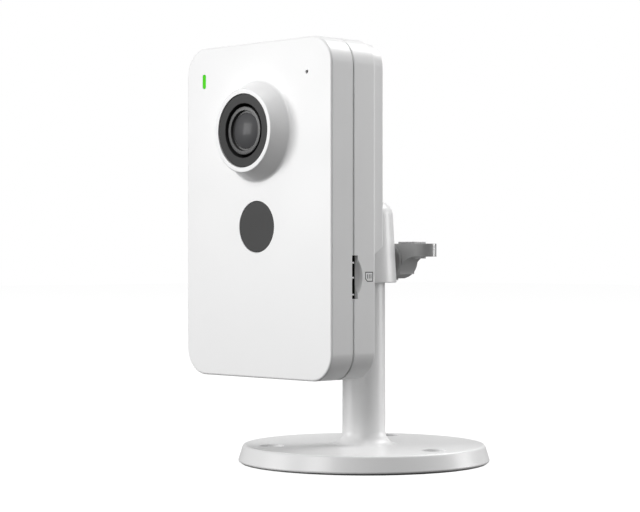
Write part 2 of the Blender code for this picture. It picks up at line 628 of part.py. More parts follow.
def build_rear_cover(finish):
    """The back shell: a raised upper back with a sloping foot, and a lip that laps inside the front."""
    shell = soften_edges(prism(head_outline(0), REAR_SEAM, BACK_Y), (0, 1, 0), HEAD_EDGE)
    cover = add_object("rear_cover", shell, finish["white"])
    bulge = prism(head_outline(BULGE_INSET), BACK_Y - mm, BULGE_Y)
    weld(cover, [soften_edges(bulge, (0, 1, 0), HEAD_EDGE)])
    slope = back_profile(0)
    below = [(BACK_Y, HEAD_BOTTOM - mm)] + slope + [(BULGE_Y + mm, BULGE_FOOT + BULGE_SLOPE),
                                                    (BULGE_Y + mm, HEAD_BOTTOM - mm)]
    cut(cover, [prism(below, -HEAD_HALF - mm, HEAD_HALF + mm, "X")])
    hollow_foot = BULGE_FOOT + BULGE_SLOPE + BACK_WALL
    inset = BULGE_INSET + REAR_WALL
    hollow = rounded_box_outline((-HEAD_HALF + inset, hollow_foot), (HEAD_HALF - inset, HEAD_TOP - inset),
                                 HEAD_CORNER - inset)
    cut(cover, [prism(head_outline(REAR_WALL), REAR_SEAM - mm, BACK_INNER)])
    lip_inset = FRONT_WALL + TOUCH_GAP
    lip_root = REAR_SEAM + LIP_ROOT
    weld(cover, [prism(head_outline(lip_inset), REAR_SEAM - LIP_HEIGHT, lip_root)])
    cut(cover, [prism(head_outline(lip_inset + LIP_THICKNESS), REAR_SEAM - LIP_HEIGHT - mm, lip_root + mm),
                prism(hollow, BACK_INNER - 0.5 * mm, BULGE_INNER)])
    for x, z in case_screw_places():
        outer = back_at(z)
        well = CASE_SCREW_HEAD + TOUCH_GAP
        cut(cover, [disc((x, z), well, outer - COUNTERBORE_DEPTH, outer + mm, steps=16),
                    disc((x, z), CASE_SCREW + TOUCH_GAP, outer - 4.0 * mm, outer, steps=12)])
    for z in HUB_SCREWS:
        cut(cover, [disc((0, z), SCREW_M3 + FIT_GAP, BACK_INNER - 2 * mm, BULGE_Y + mm, steps=16)])
    jack = head_opening(JACK_X, JACK_Z, JACK_WIDTH, JACK_HEIGHT)
    power = head_opening(POWER_X, POWER_Z, POWER_SIZE, POWER_SIZE)
    reset = disc((RESET_X, RESET_Z), RESET_RADIUS + TOUCH_GAP, BACK_INNER - mm, BACK_Y + mm)
    cut(cover, [jack, power, reset])
    for index in range(GRILLE_SLOTS):
        x = GRILLE_PITCH * (index - (GRILLE_SLOTS - 1) / 2)
        half = math.sqrt(max((SPEAKER_RADIUS - 1.2 * mm) ** 2 - x ** 2, 0))
        outline = rounded_box_outline((x - GRILLE_WIDTH / 2, SPEAKER_Z - half),
                                      (x + GRILLE_WIDTH / 2, SPEAKER_Z + half), GRILLE_WIDTH / 2, 3)
        cut(cover, [prism(outline, BULGE_INNER - mm, BULGE_Y + mm)])
    cut(cover, [side_slot(), scallop()])


def head_opening(x, z, width, height):
    half_width = width / 2 + TOUCH_GAP
    half_height = height / 2 + TOUCH_GAP
    return block((x - half_width, BACK_INNER - mm, z - half_height),
                 (x + half_width, BACK_Y + mm, z + half_height))


def build_case_screws(finish):
    for index, (x, z) in enumerate(case_screw_places()):
        floor = back_at(z) - COUNTERBORE_DEPTH + TOUCH_GAP / 2
        top = floor + CASE_HEAD_HEIGHT
        profile = [(0, floor - 8.0 * mm), (CASE_SCREW, floor - 8.0 * mm), (CASE_SCREW, floor),
                   (CASE_SCREW_HEAD, floor), (CASE_SCREW_HEAD, top - 0.2 * mm),
                   (CASE_SCREW_HEAD - 0.2 * mm, top),
                   (0.7 * mm, top), (0.5 * mm, top - 0.5 * mm), (0, top - 0.5 * mm)]
        add_object(f"case_screw_{index + 1}", turned(profile, (x, 0, z), "Y", 16), finish["steel"])


# ---- camera head: optics -------------------------------------------------------------------------
def build_optics(finish):
    centre = (0, 0, LENS_Z)
    bezel_front = COLLAR_Y + BEZEL_SETBACK
    outer = COLLAR_BORE - FIT_GAP
    tube = BEZEL_BORE + mm
    profile = [(BEZEL_BORE, bezel_front), (outer, bezel_front), (outer, bezel_front + 1.3 * mm),
               (tube, bezel_front + 1.3 * mm), (tube, FRONT_Y + mm), (BEZEL_BORE, FRONT_Y + mm)]
    add_object("lens_bezel", turned(profile, centre, "Y", 36, ring=True), finish["window"])
    ring_front = bezel_front + 1.3 * mm + TOUCH_GAP
    ring_back = ring_front + mm
    profile = [(tube + FIT_GAP, ring_front), (outer - FIT_GAP, ring_front), (outer - FIT_GAP, ring_back),
               (tube + FIT_GAP, ring_back)]
    add_object("ir_led_ring", turned(profile, centre, "Y", 28, ring=True), finish["board"])

    face = COLLAR_Y + BARREL_SETBACK
    rear = face + BARREL_LENGTH
    seat = face + GLASS_SEAT
    bore = GLASS_RADIUS - 0.7 * mm
    ring = GLASS_RADIUS + FIT_GAP
    groove = GLASS_RADIUS + GLASS_GROOVE
    profile = [(groove, face), (BARREL_RADIUS, face), (BARREL_RADIUS, face + 2.6 * mm),
               (BARREL_THREAD, face + 2.6 * mm), (BARREL_THREAD, rear), (bore, rear), (bore, seat),
               (ring, seat), (ring, face + 0.8 * mm), (groove, face + 0.8 * mm)]
    add_object("lens_barrel", turned(profile, centre, "Y", 32, ring=True), finish["black"])
    glass_back = seat - FIT_GAP
    edge = glass_back - 0.3 * mm
    bulge = (GLASS_RADIUS ** 2 + GLASS_CROWN ** 2) / (2 * GLASS_CROWN)
    span = math.degrees(math.asin(GLASS_RADIUS / bulge))
    crown = [(radius, edge - GLASS_CROWN + bulge - along)
             for along, radius in arc((0, 0), bulge, 0, span, 4)]
    crown[0] = (0, edge - GLASS_CROWN)
    profile = crown + [(GLASS_RADIUS, glass_back), (0, glass_back)]
    add_object("lens_front_glass", turned(profile, centre, "Y", 28), finish["glass"])
    profile = [(0, rear - 3.2 * mm), (bore - FIT_GAP, rear - 2.6 * mm), (bore - FIT_GAP, rear - 1.2 * mm),
               (0, rear - 0.6 * mm)]
    add_object("lens_rear_glass", turned(profile, centre, "Y", 24), finish["glass"])
    build_lens_holder(finish, rear)


def build_lens_holder(finish, barrel_rear):
    """Threaded holder on the sensor board, with a cross slot for the day and night filter."""
    back = SENSOR_BOARD_Y - TOUCH_GAP
    filter_front = barrel_rear + 0.4 * mm
    filter_back = filter_front + 0.8 * mm
    face = filter_front - 3.6 * mm
    tube = BARREL_THREAD + 1.6 * mm
    low, high = (-HOLDER_HALF, LENS_Z - HOLDER_HALF), (HOLDER_HALF, LENS_Z + HOLDER_HALF)
    holder = add_object("lens_holder", prism(rounded_box_outline(low, high, 1.5 * mm, 3), face, back),
                        finish["black"])
    weld(holder, [disc((0, LENS_Z), tube, face - 3.0 * mm, face + mm, steps=32)])
    slot_half = 5.3 * mm
    sensor = SENSOR_HALF + TOUCH_GAP
    cut(holder, [disc((0, LENS_Z), BARREL_THREAD + FIT_GAP, face - 4.0 * mm, barrel_rear + FIT_GAP, steps=40),
                 disc((0, LENS_Z), SENSOR_HALF, face, back + mm, steps=32),
                 block((-HOLDER_HALF - mm, filter_front - FIT_GAP, LENS_Z - slot_half),
                       (HOLDER_HALF + mm, filter_back + FIT_GAP, LENS_Z + slot_half)),
                 block((-sensor, filter_back + 0.4 * mm, LENS_Z - sensor),
                       (sensor, back + mm, LENS_Z + sensor))])
    slide = rounded_box_outline((-5.2 * mm, LENS_Z - 5.1 * mm), (12.2 * mm, LENS_Z + 5.1 * mm), 0.8 * mm, 3)
    add_object("ir_cut_filter", prism(slide, filter_front, filter_back), finish["glass"],
               (0, filter_front, LENS_Z))
    add_object("image_sensor", block((-SENSOR_HALF, back - 1.2 * mm, LENS_Z - SENSOR_HALF),
                                     (SENSOR_HALF, back, LENS_Z + SENSOR_HALF)), finish["black"])
    board = rounded_box_outline((-14 * mm, LENS_Z - 14.2 * mm), (14 * mm, LENS_Z + 14.2 * mm), mm, 2)
    plate = add_object("sensor_board", prism(board, SENSOR_BOARD_Y, SENSOR_BOARD_Y + mm), finish["board"])
    for index, side in enumerate((-1, 1)):
        x, z = side * 7.3 * mm, LENS_Z + side * 7.3 * mm
        head = SENSOR_BOARD_Y + mm + TOUCH_GAP
        cut(holder, [disc((x, z), 0.7 * mm, back - 4.0 * mm, back + mm, steps=12)])
        cut(plate, [disc((x, z), 0.9 * mm, SENSOR_BOARD_Y - mm, head, steps=12)])
        profile = [(0, back - 3.5 * mm), (0.6 * mm, back - 3.5 * mm), (0.6 * mm, head), (1.3 * mm, head),
                   (1.3 * mm, head + 0.7 * mm), (0, head + 0.8 * mm)]
        add_object(f"holder_screw_{index + 1}", turned(profile, (x, 0, z), "Y", 12), finish["steel"])


# ---- camera head: electronics --------------------------------------------------------------------
def build_main_board(finish):
    side = HEAD_HALF - 3.86 * mm
    notch_x = CASE_SCREW_X - CASE_BOSS - 0.8 * mm
    notch_z = CASE_SCREW_Z[0] + CASE_BOSS + mm
    bottom = HEAD_BOTTOM + 4.0 * mm
    outline = ((-notch_x, bottom), (notch_x, bottom), (notch_x, notch_z), (side, notch_z), (side, BOARD_TOP),
               (-side, BOARD_TOP), (-side, notch_z), (-notch_x, notch_z))
    board = add_object("main_board", prism(outline, MAIN_BOARD_Y, MAIN_BOARD_BACK), finish["board"])
    half = JACK_WIDTH / 2 + TOUCH_GAP
    tall = JACK_HEIGHT / 2 + TOUCH_GAP
    cut(board, [block((JACK_X - half, MAIN_BOARD_Y - mm, JACK_Z - tall),
                      (JACK_X + half, MAIN_BOARD_BACK + mm, JACK_Z + tall))])
    for index, (x, z) in enumerate(BOARD_SCREWS):
        cut(board, [disc((x, z), CASE_SCREW + TOUCH_GAP, MAIN_BOARD_Y - mm, MAIN_BOARD_BACK + mm, steps=12)])
        tip = FRONT_INNER + 0.5 * mm
        profile = [(0, tip), (CASE_SCREW, tip), (CASE_SCREW, PART_Y), (CASE_SCREW_HEAD, PART_Y),
                   (CASE_SCREW_HEAD, PART_Y + 0.7 * mm), (0, PART_Y + 0.9 * mm)]
        add_object(f"board_screw_{index + 1}", turned(profile, (x, 0, z), "Y", 12), finish["steel"])
    add_object("processor", block((-8 * mm, PART_Y, 63 * mm), (6 * mm, PART_Y + 1.2 * mm, 77 * mm)),
               finish["black"])
    spreader = PART_Y + 1.2 * mm + TOUCH_GAP
    add_object("heat_spreader", prism(rounded_box_outline((-11 * mm, 61 * mm), (9 * mm, 79 * mm), mm, 2),
                                      spreader, spreader + 1.5 * mm), finish["steel"])


def build_pir(finish):
    centre = (0, 0, PIR_Z)
    flange = FRONT_INNER + TOUCH_GAP
    profile = [(0, FRONT_Y + 0.04 * mm), (PIR_RADIUS, FRONT_Y + 0.04 * mm), (PIR_RADIUS, flange),
               (PIR_RADIUS + 1.2 * mm, flange), (PIR_RADIUS + 1.2 * mm, flange + 0.6 * mm),
               (0, flange + 0.6 * mm)]
    add_object("pir_window", turned(profile, centre, "Y", 36), finish["window"])
    back = MAIN_BOARD_Y - TOUCH_GAP
    profile = [(0, flange + 1.0 * mm), (4.1 * mm, flange + 1.0 * mm), (4.1 * mm, back - 0.5 * mm),
               (4.6 * mm, back - 0.5 * mm), (4.6 * mm, back), (0, back)]
    add_object("pir_sensor", turned(profile, centre, "Y", 20), finish["steel"])


def build_card(finish):
    """Memory card and its push-push socket behind the side slot."""
    card_end = HEAD_HALF - CARD_SETBACK
    card_start = card_end - CARD_LENGTH
    socket_end = HEAD_HALF - FRONT_WALL - TOUCH_GAP - LIP_THICKNESS - TOUCH_GAP
    half = CARD_WIDTH / 2
    socket_half = half + 1.3 * mm
    room = 0.25 * mm
    low_y = CARD_Y - CARD_THICKNESS / 2
    high_y = CARD_Y + CARD_THICKNESS / 2
    socket = add_object("card_socket", block((card_start - 2.3 * mm, PART_Y, CARD_Z - socket_half),
                                             (socket_end, high_y + 0.9 * mm, CARD_Z + socket_half)),
                        finish["steel"])
    cut(socket, [block((card_start - 1.3 * mm, low_y - room, CARD_Z - half - room),
                       (socket_end + mm, high_y + room, CARD_Z + half + room))])
    outline = ((card_start, CARD_Z - half), (card_end, CARD_Z - half), (card_end, CARD_Z + half),
               (card_start + 1.2 * mm, CARD_Z + half), (card_start, CARD_Z + half - 1.2 * mm))
    add_object("memory_card", prism(outline, low_y, high_y), finish["black"], (card_end, CARD_Y, CARD_Z))


def build_ports(finish):
    """Network and power jacks, and the reset button behind its hole."""
    face = BACK_Y - 0.2 * mm
    low = (JACK_X - JACK_WIDTH / 2, face - JACK_DEPTH, JACK_Z - JACK_HEIGHT / 2)
    high = (JACK_X + JACK_WIDTH / 2, face, JACK_Z + JACK_HEIGHT / 2)
    jack = add_object("network_jack", block(low, high),
                      finish["black"])
    mouth_low = JACK_Z - JACK_HEIGHT / 2 + 2.0 * mm
    mouth_top = mouth_low + JACK_MOUTH_HEIGHT
    half = JACK_MOUTH_WIDTH / 2
    cut(jack, [block((JACK_X - half, face - JACK_DEPTH + 1.2 * mm, mouth_low),
                     (JACK_X + half, face + mm, mouth_top)),
               block((JACK_X - 3.1 * mm, face - 8.0 * mm, mouth_top - mm),
                     (JACK_X + 3.1 * mm, face + mm, mouth_top + 2.4 * mm))])
    size = POWER_SIZE / 2
    power = add_object("power_jack", block((POWER_X - size, PART_Y, POWER_Z - size),
                                           (POWER_X + size, face, POWER_Z + size)), finish["black"])
    cut(power, [disc((POWER_X, POWER_Z), POWER_BORE, PART_Y + mm, face + mm)])
    profile = [(0, PART_Y + 1.2 * mm), (mm, PART_Y + 1.2 * mm), (mm, face - 1.2 * mm),
               (0.6 * mm, face - 0.8 * mm), (0, face - 0.8 * mm)]
    add_object("power_pin", turned(profile, (POWER_X, 0, POWER_Z), "Y", 12), finish["steel"])

    flange = BACK_INNER - TOUCH_GAP
    switch_top = flange - 3.6 * mm
    add_object("reset_switch", block((RESET_X - 3 * mm, PART_Y, RESET_Z - 3 * mm),
                                     (RESET_X + 3 * mm, switch_top, RESET_Z + 3 * mm)), finish["black"])
    foot = switch_top + RESET_TRAVEL + 0.2 * mm
    profile = [(0, foot), (RESET_RADIUS, foot), (RESET_RADIUS, flange - 0.8 * mm),
               (1.8 * mm, flange - 0.8 * mm), (1.8 * mm, flange), (RESET_RADIUS, flange),
               (RESET_RADIUS, BACK_Y - 0.6 * mm), (0, BACK_Y - 0.6 * mm)]
    add_object("reset_button", turned(profile, (RESET_X, 0, RESET_Z), "Y", 20), finish["grey"],
               (RESET_X, BACK_Y, RESET_Z))


def build_indicator_board(finish):
    """Small upper board with the status light, its light pipe and the microphone."""
    half = 2.95 * mm
    board_z = CASE_SCREW_Z[1] - CASE_BOSS - 0.4 * mm - half
    outline = rounded_box_outline((-27 * mm, board_z - half), (27 * mm, board_z + half), 0.6 * mm, 2)
    add_object("indicator_board", prism(outline, MAIN_BOARD_Y, MAIN_BOARD_BACK), finish["board"])
    back = MAIN_BOARD_Y - TOUCH_GAP
    add_object("status_led", block((LED_X - 0.6 * mm, back - 0.8 * mm, LED_Z - 1.4 * mm),
                                   (LED_X + 0.6 * mm, back, LED_Z + 1.4 * mm)), finish["green"])
    add_object("light_pipe", prism(led_outline(0), FRONT_Y + 0.04 * mm, back - 1.1 * mm), finish["green"])
    centre = (MIC_X, 0, LED_Z)
    boot_front = FRONT_INNER + TOUCH_GAP
    profile = [(0, boot_front + 0.9 * mm), (MIC_RADIUS, boot_front + 0.9 * mm), (MIC_RADIUS, back), (0, back)]
    add_object("microphone", turned(profile, centre, "Y", 16), finish["steel"])
    inner = MIC_RADIUS + FIT_GAP
    outer = inner + 0.6 * mm
    profile = [(MIC_HOLE, boot_front), (outer, boot_front), (outer, back - 0.4 * mm),
               (inner, back - 0.4 * mm), (inner, boot_front + 0.8 * mm), (MIC_HOLE, boot_front + 0.8 * mm)]
    add_object("mic_boot", turned(profile, centre, "Y", 16, ring=True), finish["rubber"])


def build_small_electronics(finish):
    ceiling = HEAD_TOP - FRONT_WALL - TOUCH_GAP - LIP_THICKNESS - TOUCH_GAP
    add_object("wifi_antenna", block((-17 * mm, FRONT_INNER + 0.6 * mm, ceiling - 0.8 * mm),
                                     (17 * mm, MAIN_BOARD_Y - 0.6 * mm, ceiling)), finish["board"])
    profile = [(0, BULGE_INNER - 5.0 * mm), (6 * mm, BULGE_INNER - 5.0 * mm),
               (6 * mm, BULGE_INNER - 3.6 * mm),
               (SPEAKER_RADIUS, BULGE_INNER - 2.6 * mm), (SPEAKER_RADIUS, BULGE_INNER - TOUCH_GAP),
               (SPEAKER_RADIUS - 1.0 * mm, BULGE_INNER - TOUCH_GAP), (0, BULGE_INNER - 1.5 * mm)]
    add_object("speaker", turned(profile, (0, 0, SPEAKER_Z), "Y", 32), finish["black"])
    thin = 0.3 * mm
    front, rear = PART_Y, SENSOR_BOARD_Y + mm + TOUCH_GAP
    route = [(front, 81 * mm), (front, 83.2 * mm), (rear, 83.2 * mm), (rear, 90 * mm)]
    back = [(rear + thin, 90 * mm), (rear + thin, 83.2 * mm - thin), (front + thin, 83.2 * mm - thin),
            (front + thin, 81 * mm)]
    add_object("sensor_cable", prism(route + back, -6 * mm, 6 * mm, "X"), finish["nylon"])


def main():
    for item in list(bpy.data.objects):
        bpy.data.objects.remove(item, do_unlink=True)
    finish = make_materials()
    build_stand(finish)
    build_base_weight(finish)
    build_foot_pad(finish)
    build_ball(finish)
    build_ball_cup(finish)
    build_socket_housing(finish)
    build_hub_screws(finish)
    build_wing_knob(finish)
    build_front_cover(finish)
    build_rear_cover(finish)
    build_case_screws(finish)
    build_optics(finish)
    build_main_board(finish)
    build_pir(finish)
    build_card(finish)
    build_ports(finish)
    build_indicator_board(finish)
    build_small_electronics(finish)


main()
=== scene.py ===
"""Visual model of the desk security camera: fine meshes, materials, studio light and camera."""
import math

import bmesh
import bpy
from mathutils import Matrix, Vector


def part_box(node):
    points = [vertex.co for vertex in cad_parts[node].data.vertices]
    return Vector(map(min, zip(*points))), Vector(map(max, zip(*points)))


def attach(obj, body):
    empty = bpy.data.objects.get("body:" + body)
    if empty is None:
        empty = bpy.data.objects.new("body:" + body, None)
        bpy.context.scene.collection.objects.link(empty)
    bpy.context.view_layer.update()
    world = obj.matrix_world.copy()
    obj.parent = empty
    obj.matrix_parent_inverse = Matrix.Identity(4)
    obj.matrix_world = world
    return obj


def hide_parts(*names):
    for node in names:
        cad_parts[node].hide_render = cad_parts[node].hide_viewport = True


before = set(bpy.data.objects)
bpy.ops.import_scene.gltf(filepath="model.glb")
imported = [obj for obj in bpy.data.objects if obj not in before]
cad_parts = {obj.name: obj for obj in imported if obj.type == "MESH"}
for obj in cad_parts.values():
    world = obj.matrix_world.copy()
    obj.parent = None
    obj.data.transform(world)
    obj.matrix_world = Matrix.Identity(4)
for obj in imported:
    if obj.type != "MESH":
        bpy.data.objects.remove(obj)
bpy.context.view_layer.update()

mm = 0.001

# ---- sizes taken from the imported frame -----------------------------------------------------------
FRONT_LOW, FRONT_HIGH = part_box("front_cover")
REAR_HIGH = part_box("rear_cover")[1]
STAND_LOW, STAND_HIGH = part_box("stand_base")
HUB_LOW, HUB_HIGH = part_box("socket_housing")
KNOB_LOW, KNOB_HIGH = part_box("wing_knob")
BEZEL_LOW, BEZEL_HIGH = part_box("lens_bezel")
BARREL_LOW, BARREL_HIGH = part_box("lens_barrel")
GLASS_LOW, GLASS_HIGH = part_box("lens_front_glass")
PIR_LOW, PIR_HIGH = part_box("pir_window")
PIPE_LOW, PIPE_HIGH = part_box("light_pipe")
BOOT_LOW, BOOT_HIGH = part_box("mic_boot")
PAD_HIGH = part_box("foot_pad")[1]
CARD_LOW, CARD_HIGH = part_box("memory_card")
SCREW_LOW, SCREW_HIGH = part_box("clamp_screw")
JACK_LOW, JACK_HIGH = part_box("network_jack")
POWER_LOW, POWER_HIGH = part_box("power_jack")
RESET_LOW, RESET_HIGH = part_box("reset_button")
SPEAKER_LOW, SPEAKER_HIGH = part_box("speaker")

HALF_WIDTH = FRONT_HIGH.x
HEAD_LOW = FRONT_LOW.z
HEAD_HIGH = FRONT_HIGH.z
COLLAR_FACE = FRONT_LOW.y
LENS_Z = (BEZEL_LOW.z + BEZEL_HIGH.z) / 2
COLLAR_BORE = (BEZEL_HIGH.x - BEZEL_LOW.x) / 2 + 0.1 * mm
PIR_Z = (PIR_LOW.z + PIR_HIGH.z) / 2
FRONT_FACE = PIR_LOW.y - 0.04 * mm
BULGE_BACK = REAR_HIGH.y
BALL_Z = (SCREW_LOW.z + SCREW_HIGH.z) / 2
CARD_Z = (CARD_LOW.z + CARD_HIGH.z) / 2
MICROPHONE = ((BOOT_LOW.x + BOOT_HIGH.x) / 2, (BOOT_LOW.z + BOOT_HIGH.z) / 2)

# ---- sizes of the visible detail -----------------------------------------------------------------
CORNER = 8.0 * mm
EDGE = 0.58 * mm
SEAM = -35.4 * mm
GROOVE = 0.5 * mm
BACK = -26.7 * mm
WALL = 1.8 * mm
REAR_WALL = 2.4 * mm
COLLAR_RIM = 12.07 * mm
COLLAR_ROOT = 14.4 * mm
PIR_RADIUS = 7.43 * mm
BULGE_INSET = 0.9 * mm
BULGE_FOOT = 62.4 * mm
BULGE_SLOPE = 4.2 * mm
SEAM_CHAMFER = 0.12 * mm
SLOT_FRONT = -36.0 * mm
SLOT_BACK = -33.7 * mm
SLOT_HALF_LENGTH = 6.15 * mm
SLOT_DEPTH = 5.0 * mm
TAB_OFFSETS = (-4.9 * mm, -0.1 * mm, 4.1 * mm)
TAB_HALF_HEIGHT = 0.22 * mm
MICROPHONE_HOLE = 0.58 * mm
BARREL_RADIUS = 7.0 * mm
BOSS_RADIUS = 5.4 * mm
NECK_HALF_WIDTH = 6.0 * mm
NECK_BOTTOM = 56.0 * mm
NECK_TOP = 76.5 * mm


# ---- materials -----------------------------------------------------------------------------------
def new_material(name):
    material = bpy.data.materials.new(name)
    material.use_nodes = True
    return material, material.node_tree.nodes, material.node_tree.links


def noise(nodes, links, coordinates, scale, detail=2.0):
    texture = nodes.new("ShaderNodeTexNoise")
    texture.inputs["Scale"].default_value = scale
    texture.inputs["Detail"].default_value = detail
    links.new(coordinates.outputs["Object"], texture.inputs["Vector"])
    return texture


def spread(nodes, links, source, low, high):
    """Map a noise's middle range to a range of values."""
    ranged = nodes.new("ShaderNodeMapRange")
    ranged.inputs["From Min"].default_value = 0.3
    ranged.inputs["From Max"].default_value = 0.7
    ranged.inputs["To Min"].default_value = low
    ranged.inputs["To Max"].default_value = high
    links.new(source, ranged.inputs["Value"])
    return ranged.outputs["Result"]


def moulded(name, colour, roughness, grain=0.25, depth=0.012, change=0.02, **sockets):
    """Moulded plastic: a fine textured skin (sizes in mm) with slight changes in gloss and tone."""
    material, nodes, links = new_material(name)
    shader = nodes["Principled BSDF"]
    coordinates = nodes.new("ShaderNodeTexCoord")
    fine = noise(nodes, links, coordinates, 1000 / grain)
    broad = noise(nodes, links, coordinates, 45.0, 3.0)
    bump = nodes.new("ShaderNodeBump")
    bump.inputs["Strength"].default_value = 0.35
    bump.inputs["Distance"].default_value = depth * mm
    links.new(fine.outputs["Fac"], bump.inputs["Height"])
    links.new(bump.outputs["Normal"], shader.inputs["Normal"])
    links.new(spread(nodes, links, broad.outputs["Fac"], roughness - 0.03, roughness + 0.04),
              shader.inputs["Roughness"])
    ramp = nodes.new("ShaderNodeValToRGB")
    ramp.color_ramp.elements[0].position = 0.3
    ramp.color_ramp.elements[1].position = 0.7
    ramp.color_ramp.elements[0].color = (*[c * (1 - change) for c in colour], 1)
    ramp.color_ramp.elements[1].color = (*colour, 1)
    links.new(broad.outputs["Fac"], ramp.inputs["Fac"])
    links.new(ramp.outputs["Color"], shader.inputs["Base Color"])
    for socket, value in sockets.items():
        shader.inputs[socket.replace("_", " ")].default_value = value
    return material


def turned_metal(name, colour, roughness):
    """Plated metal with a very fine, soft grain."""
    return moulded(name, colour, roughness, grain=0.12, depth=0.006, change=0.08, Metallic=1.0)


def board_material():
    """Green solder mask with a faint grid of tracks under it."""
    material, nodes, links = new_material("circuit_board")
    shader = nodes["Principled BSDF"]
    coordinates = nodes.new("ShaderNodeTexCoord")
    brick = nodes.new("ShaderNodeTexBrick")
    brick.inputs["Scale"].default_value = 260.0
    brick.inputs["Mortar Size"].default_value = 0.03
    brick.inputs["Color1"].default_value = (0.012, 0.13, 0.05, 1)
    brick.inputs["Color2"].default_value = (0.015, 0.16, 0.06, 1)
    brick.inputs["Mortar"].default_value = (0.03, 0.22, 0.1, 1)
    links.new(coordinates.outputs["Object"], brick.inputs["Vector"])
    links.new(brick.outputs["Color"], shader.inputs["Base Color"])
    broad = noise(nodes, links, coordinates, 200.0)
    links.new(spread(nodes, links, broad.outputs["Fac"], 0.3, 0.42), shader.inputs["Roughness"])
    return material


def glass_material():
    """Coated lens glass over a dark barrel: dark and opaque, under a thin clear coat."""
    material = moulded("coated_glass", (0.07, 0.07, 0.073), 0.42, grain=1.5, depth=0.001, change=0.05,
                       Specular_IOR_Level=0.15)
    shader = material.node_tree.nodes["Principled BSDF"]
    shader.inputs["Coat Weight"].default_value = 0.12
    shader.inputs["Coat Roughness"].default_value = 0.08
    shader.inputs["Coat IOR"].default_value = 1.4
    return material


def glowing(name, colour, strength):
    """A lit plastic window that gives off its own colour."""
    material = moulded(name, colour, 0.5, change=0.05, Specular_IOR_Level=0.1)
    shader = material.node_tree.nodes["Principled BSDF"]
    shader.inputs["Emission Color"].default_value = (*colour, 1)
    shader.inputs["Emission Strength"].default_value = strength
    return material


FINISH = {
    "white": moulded("white_plastic", (0.88, 0.88, 0.88), 0.33, depth=0.008, Specular_IOR_Level=0.4),
    "stand_white": moulded("stand_plastic", (0.82, 0.82, 0.82), 0.32, Specular_IOR_Level=0.4),
    "grey": moulded("grey_plastic", (0.42, 0.42, 0.42), 0.24, grain=0.3, depth=0.006, change=0.05,
                    Coat_Weight=0.3, Coat_Roughness=0.2),
    "black": moulded("black_plastic", (0.012, 0.012, 0.012), 0.45, change=0.2, Specular_IOR_Level=0.3),
    "barrel": moulded("barrel_black", (0.05, 0.05, 0.05), 0.35, grain=0.15, change=0.06,
                      Specular_IOR_Level=0.3),
    "window": moulded("dark_window", (0.036, 0.036, 0.036), 0.42, grain=0.4, depth=0.004, change=0.04,
                      Specular_IOR_Level=0.12),
    "pir": moulded("motion_window", (0.055, 0.055, 0.055), 0.42, grain=0.4, depth=0.01, change=0.05,
                   Specular_IOR_Level=0.12),
    "glass": glass_material(),
    "green": glowing("green_light", (0.05, 0.45, 0.003), 0.6),
    "steel": turned_metal("plated_steel", (0.6, 0.6, 0.61), 0.3),
    "brass": turned_metal("brass", (0.75, 0.58, 0.3), 0.32),
    "rubber": moulded("rubber", (0.03, 0.03, 0.03), 0.75, grain=0.4, depth=0.03, change=0.15),
    "foot": moulded("foot_rubber", (0.16, 0.16, 0.16), 0.7, grain=0.4, depth=0.03, change=0.1),
    "board": board_material(),
    "nylon": moulded("nylon", (0.7, 0.68, 0.62), 0.5),
}
NODE_FINISH = {
    "steel": ("base_weight", "ball_screw", "clamp_screw", "heat_spreader", "pir_sensor", "card_socket",
              "power_pin", "microphone"),
    "black": ("lens_holder", "image_sensor", "processor", "memory_card", "network_jack", "power_jack",
              "reset_switch", "speaker"),
    "board": ("ir_led_ring", "sensor_board", "main_board", "indicator_board", "wifi_antenna"),
    "nylon": ("ball_cup", "sensor_cable"),
    "glass": ("lens_rear_glass", "ir_cut_filter"),
    "rubber": ("mic_boot",),
    "foot": ("foot_pad",),
    "grey": ("ball", "reset_button"),
    "brass": ("thread_insert",),
    "green": ("status_led", "light_pipe"),
}


def finish_cad_nodes():
    """Give every CAD node its detailed material. Those not listed, such as screws, are steel."""
    chosen = {node: key for key, names in NODE_FINISH.items() for node in names}
    for name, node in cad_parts.items():
        key = chosen.get(name, "steel")
        node.data.materials.clear()
        node.data.materials.append(FINISH[key])


# ---- shapes --------------------------------------------------------------------------------------
def arc(centre, radius, start, end, steps):
    """Points along an arc, with its angles in degrees."""
    points = []
    for step in range(steps + 1):
        angle = math.radians(start + (end - start) * step / steps)
        points.append((centre[0] + radius * math.cos(angle), centre[1] + radius * math.sin(angle)))
    return points


def rounded_box(low, high, radius, steps=14):
    outline = []
    corners = ((high[0], high[1], 0), (low[0], high[1], 90), (low[0], low[1], 180), (high[0], low[1], 270))
    for u, v, start in corners:
        inside = (u - math.copysign(radius, u - (low[0] + high[0]) / 2),
                  v - math.copysign(radius, v - (low[1] + high[1]) / 2))
        outline += arc(inside, radius, start, start + 90, steps)
    return outline


def circle(centre, radius, steps=96):
    return arc(centre, radius, 0, 360 - 360 / steps, steps - 1)


def head_outline(inset):
    """The case's rounded outline, drawn in from its sides by an inset."""
    return rounded_box((-HALF_WIDTH + inset, HEAD_LOW + inset), (HALF_WIDTH - inset, HEAD_HIGH - inset),
                       CORNER - inset)


def add_loops(shape, rings):
    """Skin a row of equal loops, each a (points, y) pair, and return the first and last loop's edges."""
    rows = [[shape.verts.new((x, y, z)) for x, z in points] for points, y in rings]
    for row, after in zip(rows, rows[1:]):
        for index in range(len(row)):
            follow = (index + 1) % len(row)
            shape.faces.new((row[index], row[follow], after[follow], after[index]))
    ends = []
    for row in (rows[0], rows[-1]):
        ends.append([shape.edges.get((row[i], row[(i + 1) % len(row)])) for i in range(len(row))])
    return ends


def fill(shape, *edge_loops):
    edges = [edge for loop in edge_loops for edge in loop]
    bmesh.ops.triangle_fill(shape, edges=edges, use_beauty=True, use_dissolve=False)


